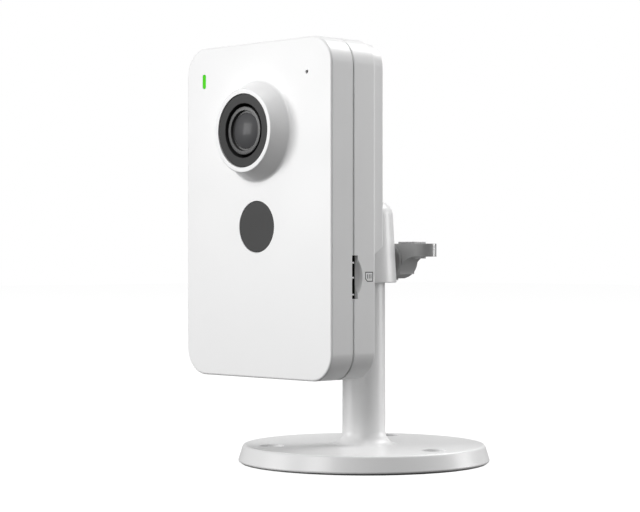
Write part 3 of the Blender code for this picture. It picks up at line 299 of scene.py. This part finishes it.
def prism(outline, start, end, axis="Y"):
    """Carry a flat outline along an axis from start to end."""
    shape = bmesh.new()
    places = {
        "X": lambda u, v: (start, u, v),
        "Y": lambda u, v: (u, start, v),
        "Z": lambda u, v: (u, v, start),
    }
    directions = {"X": (1, 0, 0), "Y": (0, 1, 0), "Z": (0, 0, 1)}
    face = shape.faces.new([shape.verts.new(places[axis](u, v)) for u, v in outline])
    grown = bmesh.ops.extrude_face_region(shape, geom=[face])
    moved = [item for item in grown["geom"] if isinstance(item, bmesh.types.BMVert)]
    bmesh.ops.translate(shape, verts=moved, vec=Vector(directions[axis]) * (end - start))
    bmesh.ops.recalc_face_normals(shape, faces=shape.faces)
    return shape


def block(low, high):
    outline = ((low[0], low[2]), (high[0], low[2]), (high[0], high[2]), (low[0], high[2]))
    return prism(outline, low[1], high[1])


def disc(centre, radius, start, end, axis="Y", steps=64):
    return prism(circle(centre, radius, steps), start, end, axis)


TURNS = {
    "X": Matrix.Rotation(math.radians(90), 4, "Y"),
    "Y": Matrix.Rotation(math.radians(-90), 4, "X"),
    "Z": Matrix.Identity(4),
}


def turned(profile, centre, axis="Z", steps=96, ring=False):
    """Turn a profile of (radius, along) points about an axis. A ring's profile closes on itself."""
    shape = bmesh.new()
    verts = [shape.verts.new((radius, 0, along)) for radius, along in profile]
    pairs = list(zip(verts, verts[1:]))
    if ring:
        pairs.append((verts[-1], verts[0]))
    edges = [shape.edges.new(pair) for pair in pairs]
    bmesh.ops.spin(shape, geom=verts + edges, cent=(0, 0, 0), axis=(0, 0, 1), dvec=(0, 0, 0),
                   angle=math.tau, steps=steps, use_merge=True, use_duplicate=False)
    bmesh.ops.remove_doubles(shape, verts=shape.verts, dist=0.0001 * mm)
    bmesh.ops.dissolve_degenerate(shape, edges=shape.edges, dist=0.0001 * mm)
    bmesh.ops.recalc_face_normals(shape, faces=shape.faces)
    bmesh.ops.transform(shape, matrix=Matrix.Translation(centre) @ TURNS[axis], verts=shape.verts)
    return shape


def make_object(name, shape):
    mesh = bpy.data.meshes.new(name)
    shape.to_mesh(mesh)
    shape.free()
    item = bpy.data.objects.new(name, mesh)
    bpy.context.scene.collection.objects.link(item)
    return item


def combine(item, shape, operation):
    """Apply one Boolean at once, so no tool object stays in the scene."""
    tool = make_object("tool", shape)
    modifier = item.modifiers.new("boolean", "BOOLEAN")
    modifier.operation = operation
    modifier.object = tool
    bake(item)
    bpy.data.objects.remove(tool, do_unlink=True)


def taken(item):
    """Take the shape out of an object and remove the object."""
    shape = bmesh.new()
    shape.from_mesh(item.data)
    bpy.data.objects.remove(item, do_unlink=True)
    return shape


def bake(item):
    """Replace the mesh by what its modifiers make of it."""
    graph = bpy.context.evaluated_depsgraph_get()
    graph.update()
    mesh = bpy.data.meshes.new_from_object(item.evaluated_get(graph))
    item.modifiers.clear()
    item.data = mesh


def dress(item, body, material, nodes=(), bevel=0.0, angle=32):
    """Smooth shading with weighted normals, fine edge rounding, a material, and the body it rides on."""
    if bevel:
        edge = item.modifiers.new("edge_rounding", "BEVEL")
        edge.width = bevel
        edge.segments = 2
        edge.limit_method = "ANGLE"
        edge.angle_limit = math.radians(38)
        edge.use_clamp_overlap = True
        bake(item)
    item.data.shade_smooth()
    item.data.set_sharp_from_angle(angle=math.radians(angle))
    weigh = item.modifiers.new("weighted_normals", "WEIGHTED_NORMAL")
    weigh.keep_sharp = True
    item.data.materials.clear()
    item.data.materials.append(material)
    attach(item, body)
    if nodes:
        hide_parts(*nodes)
    return item


# ---- case ----------------------------------------------------------------------------------------
def pipe_outline(gap):
    """Outline of the light pipe's opening, wider than the pipe by a gap."""
    low = (PIPE_LOW.x - gap, PIPE_LOW.z - gap)
    high = (PIPE_HIGH.x + gap, PIPE_HIGH.z + gap)
    return rounded_box(low, high, (PIPE_HIGH.x - PIPE_LOW.x) / 2, 8)


def side_slot():
    """Cutter for the card slot in the side of both shells."""
    low = (HALF_WIDTH - SLOT_DEPTH, SLOT_FRONT, CARD_Z - SLOT_HALF_LENGTH)
    return block(low, (HALF_WIDTH + mm, SLOT_BACK, CARD_Z + SLOT_HALF_LENGTH))


def build_front():
    """The front shell as one skin: groove edge, sides, rounded rim, face, collar and openings."""
    seam = SEAM - GROOVE / 2
    inner = FRONT_FACE + WALL
    tongue = SEAM + GROOVE / 2 - 0.05 * mm
    tongue_inset = 0.7 * mm
    shape = bmesh.new()
    rings = [(head_outline(WALL), inner), (head_outline(WALL), tongue), (head_outline(tongue_inset), tongue),
             (head_outline(tongue_inset), seam), (head_outline(SEAM_CHAMFER), seam),
             (head_outline(0), seam - SEAM_CHAMFER)]
    for inset, back in arc((EDGE, EDGE), EDGE, 180, 270, 7):
        rings.append((head_outline(max(inset, 0)), FRONT_FACE + back))
    inside, outside = add_loops(shape, rings)
    holes_front, holes_inner = [outside], [inside]
    collar = collar_profile(inner)
    rows = [(circle((0, LENS_Z), radius, 128), y) for radius, y in collar]
    start, end = add_loops(shape, rows)
    holes_front.append(start)
    holes_inner.append(end)
    openings = (circle((0, PIR_Z), PIR_RADIUS + 0.12 * mm, 96), circle(MICROPHONE, MICROPHONE_HOLE, 32),
                pipe_outline(0.08 * mm))
    for points in openings:
        start, end = add_loops(shape, [(points, FRONT_FACE), (points, inner)])
        holes_front.append(start)
        holes_inner.append(end)
    fill(shape, *holes_front)
    fill(shape, *holes_inner)
    bmesh.ops.recalc_face_normals(shape, faces=shape.faces)
    cover = make_object("front_shell", shape)
    combine(cover, side_slot(), "DIFFERENCE")
    for offset in TAB_OFFSETS:
        z = CARD_Z + offset
        low = (HALF_WIDTH - 1.2 * mm, SLOT_FRONT - 0.5 * mm, z - TAB_HALF_HEIGHT)
        high = (HALF_WIDTH - 0.1 * mm, SEAM + GROOVE / 2, z + TAB_HALF_HEIGHT)
        combine(cover, block(low, high), "UNION")
    dress(cover, "head", FINISH["white"], ("front_cover",))


def collar_profile(inner):
    """From the face outwards: root fillet, cone, rounded rim and bore, as (radius, y) pairs."""
    root = 0.9 * mm
    rise = FRONT_FACE - COLLAR_FACE
    slope = math.atan2(COLLAR_ROOT - COLLAR_RIM, rise)
    turn = math.degrees(math.pi / 2 - slope)
    reach = root * math.tan(math.radians(turn) / 2)
    centre = (COLLAR_ROOT + reach, FRONT_FACE - root)
    profile = arc(centre, root, 90, 90 + turn, 8)
    edge = 0.22 * mm
    profile += [(COLLAR_RIM + edge * math.tan(slope), COLLAR_FACE + edge)]
    profile += arc((COLLAR_RIM - edge, COLLAR_FACE + edge), edge, 0, -90, 4)[1:]
    small = 0.12 * mm
    profile += arc((COLLAR_BORE + small, COLLAR_FACE + small), small, -90, -180, 3)
    profile += [(COLLAR_BORE, inner)]
    return profile


def back_profile(steps=16):
    """The soft step from the flat lower back up to the raised upper back, as (y, z) pairs."""
    middle = (BACK + BULGE_BACK) / 2
    half = (BULGE_BACK - BACK) / 2
    return [(middle - half * math.cos(math.pi * step / steps), BULGE_FOOT + BULGE_SLOPE * step / steps)
            for step in range(steps + 1)]


def scallop():
    """Finger hollow beside the card slot: a curved dish cut by the outside of a turned lens."""
    reach, half, depth = 1.9 * mm, 5.0 * mm, 1.5 * mm
    ring = (half ** 2 + reach ** 2) / (2 * reach)
    near = ring - reach
    out = (ring ** 2 - near ** 2 - depth ** 2) / (2 * depth)
    radius = math.hypot(out, ring)
    profile = arc((0, 0), radius, -90, 90, 64)
    profile[0], profile[-1] = (0, -radius), (0, radius)
    return turned(profile, (HALF_WIDTH + out, SLOT_BACK + reach - ring, CARD_Z), "X", 128)


def build_back():
    """The rear shell: rounded rim, flat lower back, raised upper back, ports, grille and screw wells."""
    seam = SEAM + GROOVE / 2
    inner = BACK - WALL
    shape = bmesh.new()
    rings = [(head_outline(REAR_WALL), inner), (head_outline(REAR_WALL), seam),
             (head_outline(SEAM_CHAMFER), seam), (head_outline(0), seam + SEAM_CHAMFER)]
    for inset, back in arc((EDGE, EDGE), EDGE, 180, 90, 7):
        rings.append((head_outline(max(inset, 0)), BACK - 2 * EDGE + back))
    inside, outside = add_loops(shape, rings)
    fill(shape, inside)
    fill(shape, outside)
    bmesh.ops.recalc_face_normals(shape, faces=shape.faces)
    cover = make_object("rear_shell", shape)
    combine(cover, raised_back(), "UNION")
    inset = BULGE_INSET + REAR_WALL
    hollow = rounded_box((-HALF_WIDTH + inset, BULGE_FOOT + BULGE_SLOPE + WALL),
                         (HALF_WIDTH - inset, HEAD_HIGH - inset), CORNER - inset)
    combine(cover, prism(hollow, inner - 0.5 * mm, BULGE_BACK - WALL), "DIFFERENCE")
    lap = WALL + 0.3 * mm
    combine(cover, prism(head_outline(lap), seam - 2.5 * mm, seam + 2.0 * mm), "UNION")
    combine(cover, prism(head_outline(lap + mm), seam - 3.5 * mm, seam + 3.0 * mm), "DIFFERENCE")
    for shape in back_openings(inner):
        combine(cover, shape, "DIFFERENCE")
    for shape in (side_slot(), scallop()):
        combine(cover, shape, "DIFFERENCE")
    dress(cover, "head", FINISH["white"], ("rear_cover",))


def raised_back():
    """The raised upper back, with its rounded rim and its sloping foot."""
    bulge = bmesh.new()
    rings = [(head_outline(BULGE_INSET), BACK - mm), (head_outline(BULGE_INSET), BULGE_BACK - EDGE)]
    for inset, back in arc((EDGE, EDGE), EDGE, 180, 90, 6)[1:]:
        rings.append((head_outline(BULGE_INSET + inset), BULGE_BACK - 2 * EDGE + back))
    inside, outside = add_loops(bulge, rings)
    fill(bulge, inside)
    fill(bulge, outside)
    bmesh.ops.recalc_face_normals(bulge, faces=bulge.faces)
    raised = make_object("raised_back", bulge)
    below = [(BACK - 2 * mm, HEAD_LOW - mm), (BACK - 2 * mm, BULGE_FOOT), *back_profile(),
             (BULGE_BACK + mm, BULGE_FOOT + BULGE_SLOPE), (BULGE_BACK + mm, HEAD_LOW - mm)]
    combine(raised, prism(below, -HALF_WIDTH - mm, HALF_WIDTH + mm, "X"), "DIFFERENCE")
    return taken(raised)


def back_openings(inner):
    """Ports, reset hole, speaker slots, and the wells and holes of the screws."""
    gap = 0.2 * mm
    for low, high in ((JACK_LOW, JACK_HIGH), (POWER_LOW, POWER_HIGH)):
        outline = rounded_box((low.x - gap, low.z - gap), (high.x + gap, high.z + gap), 0.5 * mm, 4)
        yield prism(outline, inner - mm, BACK + mm)
    reset = ((RESET_LOW.x + RESET_HIGH.x) / 2, (RESET_LOW.z + RESET_HIGH.z) / 2)
    yield disc(reset, 1.3 * mm, inner - mm, BACK + mm, steps=40)
    speaker_z = (SPEAKER_LOW.z + SPEAKER_HIGH.z) / 2
    reach = (SPEAKER_HIGH.x - SPEAKER_LOW.x) / 2 - 1.2 * mm
    slot = 0.6 * mm
    for index in range(7):
        x = 2.4 * mm * (index - 3)
        half = math.sqrt(reach ** 2 - x ** 2)
        outline = rounded_box((x - slot, speaker_z - half), (x + slot, speaker_z + half), slot, 6)
        yield prism(outline, BULGE_BACK - WALL - mm, BULGE_BACK + mm)
    for index in range(1, 5):
        low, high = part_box(f"case_screw_{index}")
        centre = ((low.x + high.x) / 2, (low.z + high.z) / 2)
        face = high.y + 0.05 * mm
        well, shank = 2.1 * mm, 1.2 * mm
        yield disc(centre, well, face - mm, face + 5 * mm, steps=48)
        yield disc(centre, shank, face - 4 * mm, face, steps=32)


# ---- stand and joint -----------------------------------------------------------------------------
def build_stand():
    """Base and post in one moulding, with soft rim, concave root fillet and three screw wells."""
    radius = STAND_HIGH.x
    skirt = PAD_HIGH.x + 0.05 * mm
    top_radius = 36.9 * mm
    height = 5.57 * mm
    low = STAND_LOW.z
    edge = 1.0 * mm
    slope = (radius - top_radius) / (height - low)
    rim = top_radius + slope * edge
    post, head = 6.6 * mm, 6.45 * mm
    post_top = 56.1 * mm
    shoulder = 0.7 * mm
    fillet = 4.0 * mm
    bore, bore_bottom = 1.35 * mm, 51.1 * mm
    seat = 3.0 * mm
    weight_radius, weight_top = 34.8 * mm, 3.47 * mm
    hollow, hollow_top = 4.0 * mm, 48.1 * mm
    profile = [(0, bore_bottom), (bore, bore_bottom), (bore, STAND_HIGH.z), (seat, STAND_HIGH.z),
               (seat, post_top)]
    profile += arc((head - shoulder, post_top - shoulder), shoulder, 90, 0, 6)
    profile += arc((post + fillet, height + fillet), fillet, 180, 270, 20)
    profile += arc((rim - edge, height - edge), edge, 90, 14, 8)
    under = 0.3 * mm
    foot = 0.6 * mm
    profile += arc((radius - foot, under + foot), foot, 14, -60, 8)
    profile += [(skirt, under), (skirt, low + 0.05 * mm), (weight_radius, low + 0.05 * mm),
                (weight_radius, weight_top), (hollow, weight_top), (hollow, hollow_top), (0, hollow_top)]
    stand = make_object("stand_moulding", turned(profile, (0, 0, 0), steps=160))
    hole_ring = 28.9 * mm
    column, recess, shank = 6.0 * mm, 3.8 * mm, 2.2 * mm
    recess_floor = 2.2 * mm
    for index in range(3):
        angle = math.tau * index / 3
        place = (hole_ring * math.cos(angle), hole_ring * math.sin(angle))
        combine(stand, disc(place, column, low, 4.0 * mm, "Z", 48), "UNION")
        combine(stand, disc(place, recess, recess_floor, height + mm, "Z", 64), "DIFFERENCE")
        combine(stand, disc(place, shank, -mm, 3.0 * mm, "Z", 40), "DIFFERENCE")
    dress(stand, "stand", FINISH["stand_white"], ("stand_base",))


def build_hub():
    """Tapered, domed socket housing with its neck to the back of the case."""
    foot, head = (HUB_HIGH.x - HUB_LOW.x) / 2, 8.9 * mm
    dome = 5.5 * mm
    low, top = HUB_LOW.z, HUB_HIGH.z
    edge = 0.3 * mm
    profile = [(0, low), (foot - edge, low)]
    profile += arc((foot - edge, low + edge), edge, -90, 0, 4)[1:]
    for step in range(25):
        angle = math.pi / 2 * step / 24
        profile.append((head * math.cos(angle), top - dome + dome * math.sin(angle)))
    hub = make_object("socket_shell", turned(profile, (0, 0, 0), steps=128))
    neck = rounded_box((-NECK_HALF_WIDTH, NECK_BOTTOM), (NECK_HALF_WIDTH, NECK_TOP), 2.5 * mm, 8)
    combine(hub, prism(neck, BACK - mm, 0), "UNION")
    gap = 0.25 * mm
    cover = [(FRONT_FACE, HEAD_LOW), (BACK + gap, HEAD_LOW)]
    cover += [(y + gap, z - gap) for y, z in back_profile()]
    cover += [(BULGE_BACK + gap, HEAD_HIGH), (FRONT_FACE, HEAD_HIGH)]
    combine(hub, prism(cover, -2 * NECK_HALF_WIDTH, 2 * NECK_HALF_WIDTH, "X"), "DIFFERENCE")
    mouth, throat = foot - 0.8 * mm, 7.4 * mm
    cavity = [(0, low - mm), (mouth, low - mm), (mouth, low), (throat, low + 5 * mm)]
    for step in range(13):
        angle = math.pi / 2 * step / 12
        cavity.append((throat * math.cos(angle), top - dome - mm + 3.1 * mm * math.sin(angle)))
    combine(hub, turned(cavity, (0, 0, 0), steps=96), "DIFFERENCE")
    insert_low, insert_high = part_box("thread_insert")
    insert_bore, screw_bore = 3.0 * mm, 2.2 * mm
    centre = (0, BALL_Z)
    combine(hub, disc(centre, insert_bore, insert_low.y - 0.1 * mm, insert_high.y + 3 * mm), "DIFFERENCE")
    combine(hub, disc(centre, screw_bore, 0, insert_low.y + mm), "DIFFERENCE")
    dress(hub, "head", FINISH["stand_white"], ("socket_housing",))


def wing(side):
    """One wing with its web and grip ribs: broad at the boss, round and narrower at the tip."""
    root_front = KNOB_LOW.y + 0.45 * mm
    back = KNOB_LOW.y + 9.1 * mm
    half = 3.85 * mm
    middle = back - half
    thick = 4.0 * mm
    top = BOSS_RADIUS
    root = 0.7 * mm
    outline = [(root, back), (root, root_front), (3.5 * mm, root_front)]
    outline += arc((KNOB_HIGH.x - half, middle), half, -100, 90, 30)
    fillet = 5.4 * mm
    corner = (top - 0.3 * mm + fillet, top - thick - fillet)
    web_start, web_top = 1.5 * mm, top - thick + 0.4 * mm
    web = [(web_start, web_top), (corner[0], web_top)] + arc(corner, fillet, 90, 180, 20)
    web.append((web_start, corner[1]))
    gusset = make_object("gusset", prism(web, root_front - mm, root_front + 6.6 * mm))
    combine(gusset, prism(outline, -2 * top, top, "Z"), "INTERSECT")
    shapes = [prism(outline, top - thick, top, "Z"), taken(gusset)]
    rib, pitch, proud = 1.0 * mm, 2.9 * mm, 0.6 * mm
    for index in range(3):
        x = 2.5 * mm + pitch * index
        low = top - mm if index == 0 else top - thick - proud
        outline = rounded_box((x, middle - half + mm), (x + rib, middle + half - mm), 0.45 * mm, 6)
        shapes.append(prism(outline, low, top + proud, "Z"))
    for shape in shapes:
        if side < 0:
            turn = Matrix.Rotation(math.pi, 3, "Y")
            bmesh.ops.rotate(shape, verts=shape.verts, cent=(0, 0, 0), matrix=turn)
        bmesh.ops.translate(shape, verts=shape.verts, vec=(0, 0, BALL_Z))
    return shapes


def build_knob():
    """Wing knob: flanged boss, two wings with grip ribs, soft moulded edges."""
    start, end = KNOB_LOW.y, KNOB_HIGH.y
    edge = 3.6 * mm
    step = start + 1.4 * mm
    flange, chamfer = 5.9 * mm, 0.2 * mm
    profile = [(0, start), (flange - chamfer, start), (flange, start + chamfer), (flange, step - chamfer),
               (flange - chamfer, step), (BOSS_RADIUS, step + 0.25 * mm)]
    profile += [(r, y) for y, r in arc((end - edge, BOSS_RADIUS - edge), edge, 90, 0, 20)]
    profile += [(0, end)]
    knob = make_object("clamp_knob", turned(profile, (0, 0, BALL_Z), "Y", 96))
    for side in (1, -1):
        for shape in wing(side):
            combine(knob, shape, "UNION")
    combine(knob, disc((0, BALL_Z), 2.0 * mm, start - mm, end - 2.4 * mm), "DIFFERENCE")
    dress(knob, "knob", FINISH["grey"], ("wing_knob",), bevel=0.7 * mm)


# ---- lens and windows ----------------------------------------------------------------------------
def build_bezel():
    """Dark ring between the collar and the lens barrel."""
    front = BEZEL_LOW.y
    outer = (BEZEL_HIGH.x - BEZEL_LOW.x) / 2
    bore = 7.85 * mm
    step = front + 1.3 * mm
    inner_edge, outer_edge = 0.15 * mm, 0.1 * mm
    profile = arc((bore + inner_edge, front + inner_edge), inner_edge, 180, 270, 3)
    profile += arc((outer - outer_edge, front + outer_edge), outer_edge, -90, 0, 3)
    profile += [(outer, step), (bore + mm, step), (bore + mm, BEZEL_HIGH.y), (bore, BEZEL_HIGH.y)]
    bezel = make_object("bezel_ring", turned(profile, (0, 0, LENS_Z), "Y", 128, ring=True))
    dress(bezel, "head", FINISH["window"], ("lens_bezel",))


def build_barrel():
    """Lens barrel, with a sunk ring round the seat of the front glass."""
    face, back = BARREL_LOW.y, BARREL_HIGH.y
    edge = 0.15 * mm
    ring, seat_radius, bore, body = 5.8 * mm, 5.25 * mm, 4.6 * mm, 6.0 * mm
    ring_floor, seat, head_back = face + 0.8 * mm, face + 1.2 * mm, face + 2.6 * mm
    profile = [(ring, face + edge), (ring + edge, face)]
    profile += arc((BARREL_RADIUS - edge, face + edge), edge, -90, 0, 4)
    profile += [(BARREL_RADIUS, head_back), (body, head_back), (body, back), (bore, back), (bore, seat),
                (seat_radius, seat), (seat_radius, ring_floor), (ring, ring_floor)]
    barrel = make_object("barrel_ring", turned(profile, (0, 0, LENS_Z), "Y", 128, ring=True))
    dress(barrel, "head", FINISH["barrel"], ("lens_barrel",))


def build_front_glass():
    """Front element: a shallow dome on a flat back."""
    radius = (GLASS_HIGH.x - GLASS_LOW.x) / 2
    crown = 0.8 * mm
    rim = GLASS_HIGH.y - 0.3 * mm
    bulge = (radius ** 2 + crown ** 2) / (2 * crown)
    span = math.degrees(math.asin(radius / bulge))
    profile = [(r, rim - crown + bulge - a) for a, r in arc((0, 0), bulge, 0, span, 20)]
    profile[0] = (0, rim - crown)
    profile += [(radius, GLASS_HIGH.y), (0, GLASS_HIGH.y)]
    glass = make_object("front_element", turned(profile, (0, 0, LENS_Z), "Y", 96))
    dress(glass, "head", FINISH["glass"], ("lens_front_glass",))


def build_card_guide_and_slot_shade():
    """Black sleeve behind the slot, flared at its mouth into a thin black lining on the slot's walls: the
    lining is painted shade deep in the slot.
    """
    socket_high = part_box("card_socket")[1]
    near, far = socket_high.x + 0.1 * mm, HALF_WIDTH - WALL - 0.15 * mm
    half_length = 6.9 * mm
    mouth_half, bore_half = 6.13 * mm, 6.05 * mm
    guide = make_object("card_guide_and_painted_slot_shade", block((near, -37.0 * mm, CARD_Z - half_length),
                                            (far, -33.0 * mm, CARD_Z + half_length)))
    # Painted shade: the mouth lines the slot's white walls with a thin black skin, from 1.3 mm inside the
    # surface, standing in for their shadow.
    combine(guide, block((near + mm, SLOT_FRONT + 0.02 * mm, CARD_Z - mouth_half),
                         (HALF_WIDTH - 1.3 * mm, SLOT_BACK - 0.02 * mm, CARD_Z + mouth_half)), "UNION")
    combine(guide, block((near - mm, SLOT_FRONT + 0.1 * mm, CARD_Z - bore_half),
                         (far + mm, SLOT_BACK - 0.1 * mm, CARD_Z + bore_half)), "DIFFERENCE")
    dress(guide, "head", FINISH["black"])


def build_card_symbol():
    """Small raised outline of a card with three contacts, beside the slot."""
    low, high = (-30.8 * mm, 55.7 * mm), (-27.7 * mm, 58.5 * mm)
    line = 0.22 * mm
    cut = 0.8 * mm
    outline = [(low[0] + cut, low[1]), (high[0], low[1]), high, (low[0], high[1]), (low[0], low[1] + cut)]
    inside = [(low[0] + cut + line / 2, low[1] + line), (high[0] - line, low[1] + line),
              (high[0] - line, high[1] - line), (low[0] + line, high[1] - line),
              (low[0] + line, low[1] + cut + line / 2)]
    start, end = HALF_WIDTH - 0.02 * mm, HALF_WIDTH + 0.015 * mm
    symbol = make_object("card_symbol", prism(outline, start, end, "X"))
    combine(symbol, prism(inside, start - mm, end + mm, "X"), "DIFFERENCE")
    mark_low, mark_high = 56.6 * mm, 57.8 * mm
    for y in (-30.0 * mm, -29.3 * mm, -28.6 * mm):
        mark = [(y, mark_low), (y + line, mark_low), (y + line, mark_high), (y, mark_high)]
        combine(symbol, prism(mark, start, end, "X"), "UNION")
    dress(symbol, "head", FINISH["rubber"])


def build_microphone_mesh():
    """Dark cover deep in the microphone's hole."""
    radius = MICROPHONE_HOLE - 0.02 * mm
    front = FRONT_FACE + 1.0 * mm
    cover = make_object("microphone_mesh", disc(MICROPHONE, radius, front, front + 0.3 * mm, steps=32))
    dress(cover, "head", FINISH["rubber"])


def build_motion_window():
    """Round dark window over the motion sensor, flanged behind the face."""
    edge = 0.12 * mm
    front = PIR_LOW.y
    flange = FRONT_FACE + WALL + 0.3 * mm
    outer = (PIR_HIGH.x - PIR_LOW.x) / 2
    profile = [(0, front)] + arc((PIR_RADIUS - edge, front + edge), edge, -90, 0, 4)
    profile += [(PIR_RADIUS, flange), (outer, flange), (outer, PIR_HIGH.y), (0, PIR_HIGH.y)]
    window = make_object("motion_lens", turned(profile, (0, 0, PIR_Z), "Y", 128))
    dress(window, "head", FINISH["pir"], ("pir_window",))


# ---- studio --------------------------------------------------------------------------------------
def area_light(name, place, target, size, power):
    light = bpy.data.lights.new(name, "AREA")
    light.shape = "RECTANGLE"
    light.size, light.size_y = size
    light.energy = power
    item = bpy.data.objects.new(name, light)
    item.location = place
    item.rotation_euler = (Vector(target) - Vector(place)).to_track_quat("-Z", "Y").to_euler()
    bpy.context.scene.collection.objects.link(item)


def build_studio():
    """Soft area lights in a white room that is bright to look at and dimmer as a light."""
    scene = bpy.context.scene
    scene.view_settings.view_transform = "Standard"
    world = bpy.data.worlds.new("studio")
    scene.world = world
    world.use_nodes = True
    nodes, links = world.node_tree.nodes, world.node_tree.links
    room = nodes["Background"]
    room.inputs["Color"].default_value = (1, 1, 1, 1)
    room.inputs["Strength"].default_value = 0.34
    seen = nodes.new("ShaderNodeBackground")
    seen.inputs["Color"].default_value = (1, 1, 1, 1)
    seen.inputs["Strength"].default_value = 1.0
    path = nodes.new("ShaderNodeLightPath")
    mix = nodes.new("ShaderNodeMixShader")
    links.new(path.outputs["Is Camera Ray"], mix.inputs["Fac"])
    links.new(room.outputs["Background"], mix.inputs[1])
    links.new(seen.outputs["Background"], mix.inputs[2])
    links.new(mix.outputs["Shader"], nodes["World Output"].inputs["Surface"])
    middle = (0, -0.02, 0.07)
    area_light("front", (0, -2.7, 1.5), middle, (1.1, 1.1), 39.0)
    area_light("left", (-1.9, -2.3, 0.3), middle, (1.1, 1.1), 45.0)
    area_light("rim", (0.6, 1.0, 0.2), middle, (0.4, 0.6), 7.0)
    area_light("back", (0.15, 0.8, 0.95), middle, (0.5, 0.5), 7.0)
    area_light("top", (0, 0, 1.3), middle, (0.6, 0.6), 3.6)
    build_floor()


def build_floor():
    """Plain floor: pale to look at, dim as a source of bounced light."""
    shape = bmesh.new()
    bmesh.ops.create_grid(shape, x_segments=1, y_segments=1, size=3.0)
    floor = make_object("floor", shape)
    material, nodes, links = new_material("pale_floor")
    matt = nodes["Principled BSDF"]
    matt.inputs["Base Color"].default_value = (0.9, 0.9, 0.9, 1)
    matt.inputs["Roughness"].default_value = 0.9
    dim = nodes.new("ShaderNodeBsdfDiffuse")
    dim.inputs["Color"].default_value = (0.06, 0.06, 0.06, 1)
    pale = nodes.new("ShaderNodeEmission")
    pale.inputs["Strength"].default_value = 1.15
    seen = nodes.new("ShaderNodeMixShader")
    seen.inputs["Fac"].default_value = 0.8
    path = nodes.new("ShaderNodeLightPath")
    mix = nodes.new("ShaderNodeMixShader")
    links.new(matt.outputs["BSDF"], seen.inputs[1])
    links.new(pale.outputs["Emission"], seen.inputs[2])
    links.new(path.outputs["Is Camera Ray"], mix.inputs["Fac"])
    links.new(dim.outputs["BSDF"], mix.inputs[1])
    links.new(seen.outputs["Shader"], mix.inputs[2])
    links.new(mix.outputs["Shader"], nodes["Material Output"].inputs["Surface"])
    floor.data.materials.append(material)
    return floor


def build_camera():
    """Long lens, level with the middle of the case, at the front left quarter."""
    lens = bpy.data.cameras.new("camera")
    lens.sensor_width = 36.0
    lens.lens = 108.36
    lens.clip_start = 0.01
    camera = bpy.data.objects.new("camera", lens)
    camera.location = (0.4169, -0.4179, 0.0630)
    camera.rotation_euler = Vector((-0.7222, 0.6917, 0)).to_track_quat("-Z", "Y").to_euler()
    bpy.context.scene.collection.objects.link(camera)
    bpy.context.scene.camera = camera


build_camera()
finish_cad_nodes()
build_front()
build_back()
build_stand()
build_hub()
build_knob()
build_bezel()
build_barrel()
build_front_glass()
build_motion_window()
build_card_guide_and_slot_shade()
build_card_symbol()
build_microphone_mesh()
build_studio()
